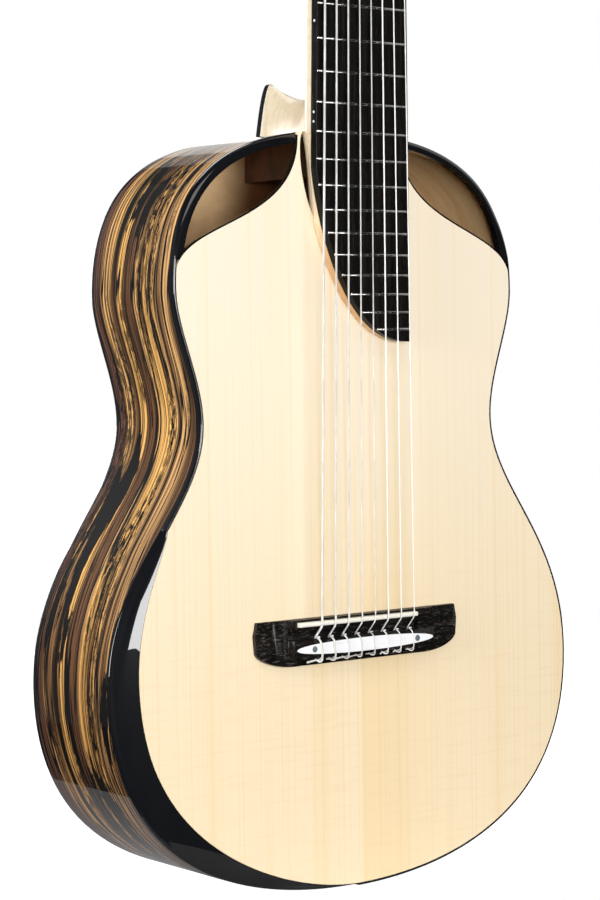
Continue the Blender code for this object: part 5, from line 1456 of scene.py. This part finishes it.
@dataclass
class Strings:
    """Eight strings from their knots at the tie block to the windings on the rollers."""

    bridge: Bridge
    head: "Head"
    nut_spread: float = 0.0613
    nut_lift: float = 0.0016
    plain: int = 3

    def build(self) -> None:
        """Build every string with its knot and its windings."""
        for number in STRINGS:
            radius = STRING_RADII[number - 1]
            look = Look.NYLON if number <= self.plain else Look.WOUND
            line = self.route(number, radius)
            deliver(tube(f"playing_string_{number}", line, radius, 12), look, f"string_{number}")
            strands = [tube("strand", line, radius * 0.92, 10) for line in self.knot(number, radius)]
            deliver(merged(f"string_knot_{number}", *strands), look)
            wound = tube(f"string_winding_{number}", self.winding(number, radius), radius, 10)
            deliver(wound, look, body=f"roller_{number}")

    def route(self, number: int, radius: float) -> list[Vector]:
        """Draw a string's centre from the tie block's rear, through its hole, over the saddle to its roller."""
        bridge, head, nut = self.bridge, self.head, NECK.nut_at
        x, nut_x = string_x(number, bridge.spread), string_x(number, self.nut_spread)
        height, tall = NECK.height(nut) + self.nut_lift - 0.0002, bridge.saddle_height
        hole, tie_high = bridge.hole_height, bridge.tie_low + bridge.tie_length
        line = [
            at(x, -hole, bridge.tie_low + 0.0010), at(x, -hole, tie_high), at(x, -hole - 0.0004, tie_high + 0.0012),
            at(x, 0.0008 - tall, bridge.saddle_at - 0.0022), at(x, -tall, bridge.saddle_at),
            at(x, -tall - 0.00005, bridge.saddle_at + 0.0030),
            at(nut_x, -height, nut - 0.003), at(nut_x, -height, nut + 0.0010),
            at(nut_x, 0.0001 - height, nut + 0.0042),
        ]
        up, along = head.roller_place(number)[1:]
        clear = head.roller_radius + radius + 1.5 * GAP
        return line + [head.point(along, up - 0.0015, clear - head.roller_depth)]

    def knot(self, number: int, radius: float) -> list[list[Vector]]:
        """Draw the centres of the loop over the tie block and of the short tail tucked behind it."""
        bridge = self.bridge
        x, hole = string_x(number, bridge.spread), bridge.hole_height
        low, high = bridge.tie_low, bridge.tie_low + bridge.tie_length
        over = bridge.block_height + 0.0010 + GAP + radius
        rear = low - radius - 0.0002
        lean = (0.0008, -0.0003, 0.0005)[number % 3]
        reach = 0.0034 if number <= self.plain else 0.0062 + 6 * lean
        loop = (
            (0.0, hole, low + 0.0010), (0.0, hole + 0.0002, rear - 0.0004), (0.0004, hole + 0.0026, rear - 0.0004),
            (0.0007, over - 0.0006, low), (0.0009, over, low + 0.0018),
            (0.0005 + lean, over + 0.0001, low + 0.0060), (-0.0002, over, high - 0.0020),
            (-0.0010, over - 0.0006, high - 0.0002), (-0.0013, over - 0.0022, high + 0.0009),
            (-0.0004, over - 0.0034, high + 0.0012), (0.0011, over - 0.0026, high + 0.0010),
        )
        tail = (
            (0.0022, over - 0.0016, low - 0.0004), (0.0008, over - 0.0012, rear - 0.0012),
            (-0.0008, over - 0.0020, rear - 0.0012), (-0.0020, over - 0.0030, rear - 0.0004),
            (-reach, over - 0.0036, rear - 0.0008 - lean),
        )
        return [eased([at(x + off, -h, z) for off, h, z in parts]) for parts in (loop, tail)]

    def winding(self, number: int, radius: float) -> list[Vector]:
        """Draw the turns of a string round its roller."""
        head = self.head
        side, up, along = head.roller_place(number)
        reach = head.roller_radius + radius * 1.02
        turns = 3.2 if number in (1, 8) else 4.2
        room = side * (head.spine / 2 + head.slot_width - 0.0006) - along
        pitch = math.copysign(min(2.1 * radius, abs(room) / (turns + 0.6)), room) if abs(room) > 2 * radius else 0.0
        line = []
        for i in range(int(turns * 24) + 1):
            angle = -0.35 + 2 * math.pi * i / 24
            out, rise = math.cos(angle) * reach, math.sin(angle) * reach
            line.append(head.point(along + pitch * i / 24, up + rise, out - head.roller_depth))
        return line


# Headstock


@dataclass
class Head:
    """Slotted headstock, its veneer, the nut and eight geared tuning machines."""

    tilt: float = math.radians(13.0)
    length: float = 0.1950
    width: float = 0.0880
    foot_width: float = 0.0740
    crest: float = 0.0060
    thickness: float = 0.0200
    veneer: float = 0.0025
    slot_width: float = 0.0220
    spine: float = 0.0190
    first_roller: float = 0.0480
    pitch: float = 0.0340
    margin: float = 0.0190
    arrivals: tuple[float, ...] = (0.80, 0.62, 0.45, 0.52)  # share of the slot's width, outermost string first
    roller_depth: float = 0.0085
    roller_radius: float = 0.0048
    journal: float = 0.0036
    journal_room: float = 0.0004
    plate_thickness: float = 0.0014
    plate_half: float = 0.0075
    plate_corner: float = 0.0040
    lug_thickness: float = 0.0018
    worm_radius: float = 0.0030
    worm_core: float = 0.0021
    worm_length: float = 0.0080
    worm_turns: int = 3
    shaft: float = 0.0015
    gear_radius: float = 0.0062
    gear_thickness: float = 0.0030
    gear_teeth: int = 14
    button_length: float = 0.0152

    def __post_init__(self) -> None:
        """Set the headstock's frame: x across, y up its face, z out of its front."""
        self.end = NECK.nut_at + NECK.nut_length + GAP
        foot = shift(0, FACE - (NECK.height(self.end) - NECK.thickness), self.end)
        self.frame = foot @ Matrix.Rotation(-self.tilt, 4, "X") @ ON_FACE
        self.gear_middle = self.width / 2 + self.plate_thickness + self.worm_radius + 2 * GAP
        self.worm_offset = self.gear_radius + self.worm_radius + GAP

    def point(self, x: float, up: float, out: float) -> Vector:
        """Place a point that is given on the headstock."""
        return self.frame @ Vector((x, up, out))

    def roller_place(self, number: int) -> tuple[int, float, float]:
        """Find where a string's roller is.

        Args:
            number: The string's number.

        Returns:
            Its side, its distance up the headstock, and where along it the string arrives.
        """
        side, step = 1 if number <= 4 else -1, min(number - 1, 8 - number)
        along = side * (self.spine / 2 + self.slot_width * self.arrivals[step])
        return side, self.first_roller + self.pitch * step, along

    def across(self, side: int, up: float) -> Matrix:
        """Set a frame whose third axis runs along a roller, away from the centre line."""
        return self.frame @ shift(0, up, -self.roller_depth) @ SIDEWAYS[side]

    def outline(self) -> list[Point]:
        """Draw the headstock's face."""
        foot, half, length = self.foot_width / 2, self.width / 2, self.length
        corner, crest = (half - 0.014, length - 0.001), length + self.crest
        side = [(foot, -0.010), (foot, 0.002)]
        side += bezier((foot, 0.002), (foot, 0.009), (half, 0.008), (half, 0.016), 10)[1:]
        side += bezier((half, length - 0.012), (half, length), (half - 0.006, length), corner, 10)
        side += bezier(corner, (0.014, length - 0.003), (0.010, crest), (0, crest), 16)[1:]
        return side + mirrored(side)[1:]

    def build(self) -> None:
        """Build the wood, the nut and the machines."""
        self.wood("maple_headstock", "headstock", -self.thickness, 0.0, Look.NECK, 0.0006)
        self.wood("ebony_veneer", "headstock_veneer", SLIVER, self.veneer + GAP, Look.VENEER, 0.0003)
        self.nut()
        for side, word in SIDES:
            self.side_plate(side, word)
        for number in STRINGS:
            self.roller(number)
            self.worm(number)
            self.button(number)

    def wood(self, name: str, node: str, low: float, high: float, look: Look, rounding: float) -> None:
        """Build one layer of the headstock with its slots, ramps and roller holes.

        Args:
            name: The piece's name.
            node: The part's node that it is shown instead of.
            low: Height of its underside over the wood's face.
            high: Height of its upper side.
            look: Its finish.
            rounding: How far its corners are rounded.
        """
        wood = prism(name, self.outline(), low, high, self.frame)
        cutters = [box("foot", (-0.1, -0.2, self.end - 0.1), (0.1, 0.2, self.end + GAP))]
        radius, start = self.slot_width / 2, self.first_roller - self.margin
        end, middle = self.first_roller + 3 * self.pitch + 0.8 * self.margin, self.spine / 2 + radius
        slot = arc((middle, end - radius), (radius, radius), 0, 180, 16)
        slot += arc((middle, start + radius), (radius, radius), 180, 360, 16)
        for side in (-1, 1):
            cutters.append(prism("slot", [(side * x, y) for x, y in slot], -0.05, 0.05, self.frame))
        foot, brink, top = start - 0.0175, start + radius, self.veneer + 2 * GAP
        ramp = [(foot, top), (brink, -0.0062), (brink, top + 0.002), (foot, top + 0.002)]
        for side in (-1, 1):
            place = self.frame @ shift(side * middle) @ SIDEWAYS[1]
            cutters.append(prism("ramp", ramp, 0.001 - radius, radius - 0.001, place))
        worked(wood, Change.CUT, *cutters)
        if look is Look.NECK:
            bore = self.journal + self.journal_room
            places = (self.across(*self.roller_place(number)[:2]) for number in STRINGS)
            bores = [turned("bore", [(bore, 0.0030), (bore, 0.060)], 24, place) for place in places]
            worked(wood, Change.CUT, *bores)
        deliver(rounded(wood, rounding, 2, 50), look, node)

    def nut(self) -> None:
        """Build the bone nut with its rounded top."""
        low_at, high_at, half = NECK.nut_at, NECK.nut_at + NECK.nut_length, NECK.nut_width / 2
        front = NECK.height(low_at) + Strings.nut_lift - max(STRING_RADII) - GAP
        foot = NECK.height(high_at) - NECK.thickness + GAP
        nut = box("bone_nut", (-half, FACE - front, low_at), (half, FACE - foot, high_at))
        deliver(rounded(nut, 0.0007, 3), Look.SADDLE, "nut")

    def side_plate(self, side: int, word: str) -> None:
        """Build the brass plate of one side with its lugs and screws."""
        near, flat = self.width / 2 + GAP, self.across(side, 0)
        far, half, corner = near + self.plate_thickness, self.plate_half, self.plate_corner
        low, high = self.first_roller - 0.0150, self.first_roller + 3 * self.pitch + 0.0150
        start, end, edge = low + corner, high - corner, half - corner
        loop = []
        for k, middle in enumerate(((end, edge), (start, edge), (start, -edge), (end, -edge))):
            loop += arc(middle, (corner, corner), 90 * k, 90 * (k + 1), 6)
        metal = rounded(prism(f"brass_plate_{word}", loop, near, far, flat), 0.0003, 2, 50)
        lug, reach = self.worm_length / 2 + GAP, self.gear_middle + 0.0031
        bend = [(near + 0.0007, -0.0035), (reach - 0.0020, -0.0035), (reach, -0.0015)]
        bend = [(side * x, y) for x, y in bend + [(x, -y) for x, y in reversed(bend)]]
        axle_hole, journal = [(0.0019, -0.02), (0.0019, 0.02)], self.journal + self.journal_room
        lugs, cutters = [], []
        for number in STRINGS:
            roller_side, up = self.roller_place(number)[:2]
            if roller_side != side:
                continue
            place = self.frame @ shift(0, up - self.worm_offset, -self.roller_depth)
            for a, b in ((lug, lug + self.lug_thickness), (-lug - self.lug_thickness, -lug)):
                lugs.append(prism("lug", bend, a, b, place))
            cutters.append(turned("axle_hole", axle_hole, 20, place @ shift(side * self.gear_middle)))
            hole = [(journal, near - 0.01), (journal, far + 0.02)]
            cutters.append(turned("journal_hole", hole, 24, self.across(side, up)))
        worked(metal, Change.JOIN, *lugs)
        worked(metal, Change.CUT, *cutters)
        deliver(metal, Look.BRASS, f"tuner_plate_{word}")
        deliver(merged(f"plate_screws_{word}", *self.screws(flat, low, high, far)), Look.STEEL)

    def screws(self, flat: Matrix, low: float, high: float, far: float) -> list[Piece]:
        """Build the five screws of one side plate.

        Args:
            flat: The plate's frame.
            low: The plate's lower end.
            high: Its upper end.
            far: Height of its outer face.

        Returns:
            The screw heads, each with its driver slot.
        """
        profile = [(0.0018, -0.0003), (0.0018, 0.0002), (0.0014, 0.0006), (0.0006, 0.0008)]
        screws = []
        for k in range(5):
            place = min(low + 0.0040 + 0.0335 * k, high - 0.0040)
            lift = 0.0048 if 0.01 < place - low < 0.115 else 0.0
            place = flat @ shift(place, lift, far)
            cut = box("driver_slot", (-0.003, -0.0002, 0.0004), (0.003, 0.0002, 0.002), place)
            screws.append(worked(turned("screw_head", profile, 20, place), Change.CUT, cut))
        return screws

    def roller(self, number: int) -> None:
        """Build one roller: brass axle with its gear and screw, and the pale barrel that the string winds on."""
        place, body = self.across(*self.roller_place(number)[:2]), f"roller_{number}"
        start, journal = self.spine / 2 - 0.0060, self.journal
        gear_in, gear_out = (self.gear_middle + share * self.gear_thickness for share in (-0.5, 0.5))
        profile = [(journal - 0.0002, start), (journal, start + 0.0003), (journal, gear_out)]
        axle = turned(f"roller_axle_{number}", profile, 24, place)
        flank = ((0.34, 0.0050), (0.24, 0.0053), (0.15, 0.0060), (0.08, self.gear_radius))
        tooth = [(-share, reach) for share, reach in flank] + list(reversed(flank))
        loop = []
        for i in range(self.gear_teeth):
            for share, reach in tooth:
                angle = 2 * math.pi * (i + share) / self.gear_teeth
                loop.append((reach * math.cos(angle), reach * math.sin(angle)))
        gear = rounded(prism("gear", loop, gear_in, gear_out, place), 0.00012, 1)
        profile = [(0.0024, gear_out - 0.0003), (0.0024, gear_out + 0.0006), (0.0018, gear_out + 0.0012)]
        cut = box("driver_slot", (-0.003, -0.0003, gear_out + 0.0005), (0.003, 0.0003, gear_out + 0.003), place)
        screw = worked(turned("gear_screw", profile, 24, place), Change.CUT, cut)
        deliver(merged(f"roller_gear_{number}", axle, gear, screw), Look.BRASS, f"tuner_roller_{number}", body=body)
        low, high = self.spine / 2 + GAP, self.spine / 2 + self.slot_width - GAP
        barrel = turned(f"roller_barrel_{number}", [(self.roller_radius, low), (self.roller_radius, high)], 32, place)
        hole = place @ shift(0, 0, (low + high) / 2) @ Matrix.Rotation(math.pi / 2, 4, "X")
        worked(barrel, Change.CUT, turned("string_hole", [(0.0011, -0.01), (0.0011, 0.01)], 16, hole))
        deliver(rounded(barrel, 0.0002, 1), Look.ROLLER, body=body)

    def worm_place(self, number: int) -> tuple[Matrix, float]:
        """Give a worm's frame, its third axis out of the headstock's front, and how far back the button is."""
        side, up = self.roller_place(number)[:2]
        place = self.frame @ shift(side * self.gear_middle, up - self.worm_offset, -self.roller_depth)
        return place, self.thickness - self.roller_depth + 0.0050

    def worm(self, number: int) -> None:
        """Build one worm with its real thread, its shaft and its collar."""
        place, rear = self.worm_place(number)
        half, core, shaft = self.worm_length / 2, self.worm_core, self.shaft
        front = half + GAP + self.lug_thickness + 0.0008
        axle = [(0.0011, front), (shaft, front - 0.0003), (shaft, -rear - 0.002)]
        middle = [(shaft, half), (core, half), (core, -half), (shaft, -half)]
        collar = [(0.0026, 0.0022 - rear), (0.0030, 0.0016 - rear), (0.0030, -rear - 0.0008), (0.0026, -rear - 0.0012)]
        worm = merged(
            f"worm_{number}", turned("shaft", axle, 20, place), turned("core", middle, 20, place),
            self.thread(place), turned("collar", collar, 24, place),
        )
        deliver(worm, Look.BRASS, f"tuner_button_{number}", body=f"button_{number}")

    def thread(self, place: Matrix) -> Piece:
        """Wind a worm's thread, which fades out at both ends."""
        half, steps, rings = self.worm_length / 2, 20 * self.worm_turns, []
        for i in range(steps + 1):
            angle = 2 * math.pi * i / 20
            height = between(i / steps, 0.0011 - half, half - 0.0011)
            crest = between(min(1.0, 5 * i / steps, 5 * (1 - i / steps)), self.worm_core, self.worm_radius)
            section = ((0.0019, -0.0009), (crest, -0.0003), (crest, 0.0003), (0.0019, 0.0009))
            out = Vector((math.cos(angle), math.sin(angle), 0))
            rings.append([place @ (out * radius + Vector((0, 0, height + lift))) for radius, lift in section])
        return skin("thread", rings)

    def button(self, number: int) -> None:
        """Build one pearl button, waisted where it meets its shaft."""
        place, rear = self.worm_place(number)
        rings = []
        for t in (i / 24 for i in range(25)):
            swell = math.sin(math.pi * min(max(t, 0.02), 0.98)) ** 0.42
            waist = 1.0 - 0.16 * math.cos(math.pi * t) * (1 - t)
            wide, thick = 0.0085 * swell * between(t, 0.82, 1.06), 0.0045 * swell * waist
            ring = []
            for angle in (2 * math.pi * k / 32 for k in range(32)):
                x, y = (math.copysign(abs(v) ** 0.85, v) for v in (math.cos(angle), math.sin(angle)))
                ring.append(place @ Vector((x * thick, y * wide, -rear - self.button_length * t)))
            rings.append(ring)
        deliver(skin(f"pearl_button_{number}", rings, degrees=60), Look.BUTTON, body=f"button_{number}")


# Surroundings


@dataclass
class Studio:
    """Camera, pale floor and soft light."""

    yaw: float = math.radians(37.75)
    pitch: float = math.radians(-2.44)
    roll: float = math.radians(-0.83)
    place: Colour = (-1.02136, -1.31017, 0.36430)
    lens: float = 96.77
    rear_powers: tuple[float, ...] = (0.5, 1.3, 2.4, 3.4, 4.2)

    def build(self) -> None:
        """Build the camera, the floor and the lights."""
        self.camera()
        self.floor()
        self.backdrop()
        panels = [
            ("key_panel", (-0.52, -1.97, 0.446), (-0.52, 0.0, 0.446), (1.95, 0.55), 42.5, -10.6),
            ("left_panel", (-1.9, -0.28, 0.60), (-0.15, 0.0, 0.32), (0.55, 0.7), 28.0),
            ("high_panel", (-0.9, -1.6, 2.20), (0.0, 0.0, 0.30), (1.5, 1.0), 12.0),
            ("haze_panel", (-0.65, 0.80, 0.47), (-0.65, 0.0, 0.47), (1.1, 1.20), 0.30),
        ]
        for k, power in enumerate(self.rear_powers):
            x = 0.62 + 0.34 * k
            panels.append((f"rear_panel_{k + 1}", (x, 1.75, 1.15), (x, 0.0, 0.6), (0.34, 1.6), power))
        panels += [
            ("rear_high_panel", (0.1, 1.5, 2.7), (0.0, 0.0, 0.40), (1.6, 1.2), 22.0),
            ("back_panel", (-0.2, 2.2, 0.75), (0.0, 0.0, 0.45), (1.0, 0.9), 24.0),
            ("right_panel", (2.1, 0.0, 1.1), (0.0, 0.0, 0.35), (2.4, 2.2), 11.0),
        ]
        for panel in panels:
            self.panel(*panel)

    def camera(self) -> None:
        """Set the camera where the photograph was taken from."""
        bpy.context.scene.view_settings.view_transform = "Standard"
        data = bpy.data.cameras.new("camera")
        data.lens, data.sensor_width = self.lens, 36.0
        camera = linked("camera", data)
        level = math.cos(self.pitch)
        ahead = Vector((math.sin(self.yaw) * level, math.cos(self.yaw) * level, math.sin(self.pitch)))
        right = Vector((math.cos(self.yaw), -math.sin(self.yaw), 0))
        up = right.cross(ahead)
        lean, tip = math.cos(self.roll), math.sin(self.roll)
        turned_axes = Matrix((lean * right + tip * up, lean * up - tip * right, -ahead)).transposed()
        camera.matrix_world = shift(*self.place) @ turned_axes.to_4x4()
        bpy.context.scene.camera = camera

    def floor(self) -> None:
        """Lay the pale floor that the tail stands on, white for the camera."""
        floor = box("floor", (-0.21, -0.13, -0.012), (1.2, 1.2, -0.0005))
        sheet = NodeSheet("pale_floor", Roughness=0.7, Emission_Color=(1.0, 1.0, 1.0))
        seen = sheet.add("LightPath", {}, "Is Camera Ray")
        sheet.tree.links.new(seen, sheet.shader.inputs["Emission Strength"])
        cloud = sheet.noise(sheet.place(), (3.0, 3.0, 3.0))
        sheet.colour = sheet.ramp(cloud, [(0.4, (0.30, 0.30, 0.31)), (0.6, (0.34, 0.34, 0.35))])
        floor.data.materials.append(sheet.done())

    def backdrop(self) -> None:
        """Make the surroundings white for the camera and dim for what reflects them."""
        world = bpy.data.worlds.new("studio")
        world.use_nodes = True
        tree = world.node_tree
        tree.nodes.clear()
        rays, mixed, out = (tree.nodes.new("ShaderNode" + kind) for kind in ("LightPath", "MixShader", "OutputWorld"))
        tree.links.new(rays.outputs["Is Camera Ray"], mixed.inputs[0])
        for socket, colour, strength in ((1, (0.90, 0.95, 1.0, 1), 0.05), (2, (1, 1, 1, 1), 1.0)):
            light = tree.nodes.new("ShaderNodeBackground")
            light.inputs[0].default_value = colour
            light.inputs[1].default_value = strength
            tree.links.new(light.outputs[0], mixed.inputs[socket])
        tree.links.new(mixed.outputs[0], out.inputs[0])
        bpy.context.scene.world = world

    def panel(self, name: str, place: Colour, aim: Colour, size: Point, power: float, turn: float = 0.0) -> None:
        """Hang a soft light panel.

        Args:
            name: Its name.
            place: Where it hangs.
            aim: The point that it faces.
            size: Its width and height.
            power: Its power in watts.
            turn: How far its right end is lifted, in degrees.
        """
        data = bpy.data.lights.new(name, "AREA")
        data.shape = "RECTANGLE"
        data.size, data.size_y = size
        data.energy = power
        lamp = linked(name, data)
        lamp.visible_camera = False
        lamp.location = place
        facing = (Vector(aim) - Vector(place)).to_track_quat("-Z", "Y")
        lamp.rotation_euler = (facing @ Quaternion((0.0, 0.0, 1.0), math.radians(turn))).to_euler()


def main() -> None:
    """Build the studio and every sub-assembly in order."""
    logging.basicConfig(level=logging.INFO, format="%(message)s")
    bridge, head = Bridge(), Head()
    for assembly in (Studio(), SoundBox(), Inside(), NECK, bridge, head, Strings(bridge, head)):
        assembly.build()


if __name__ == "__main__":
    main()
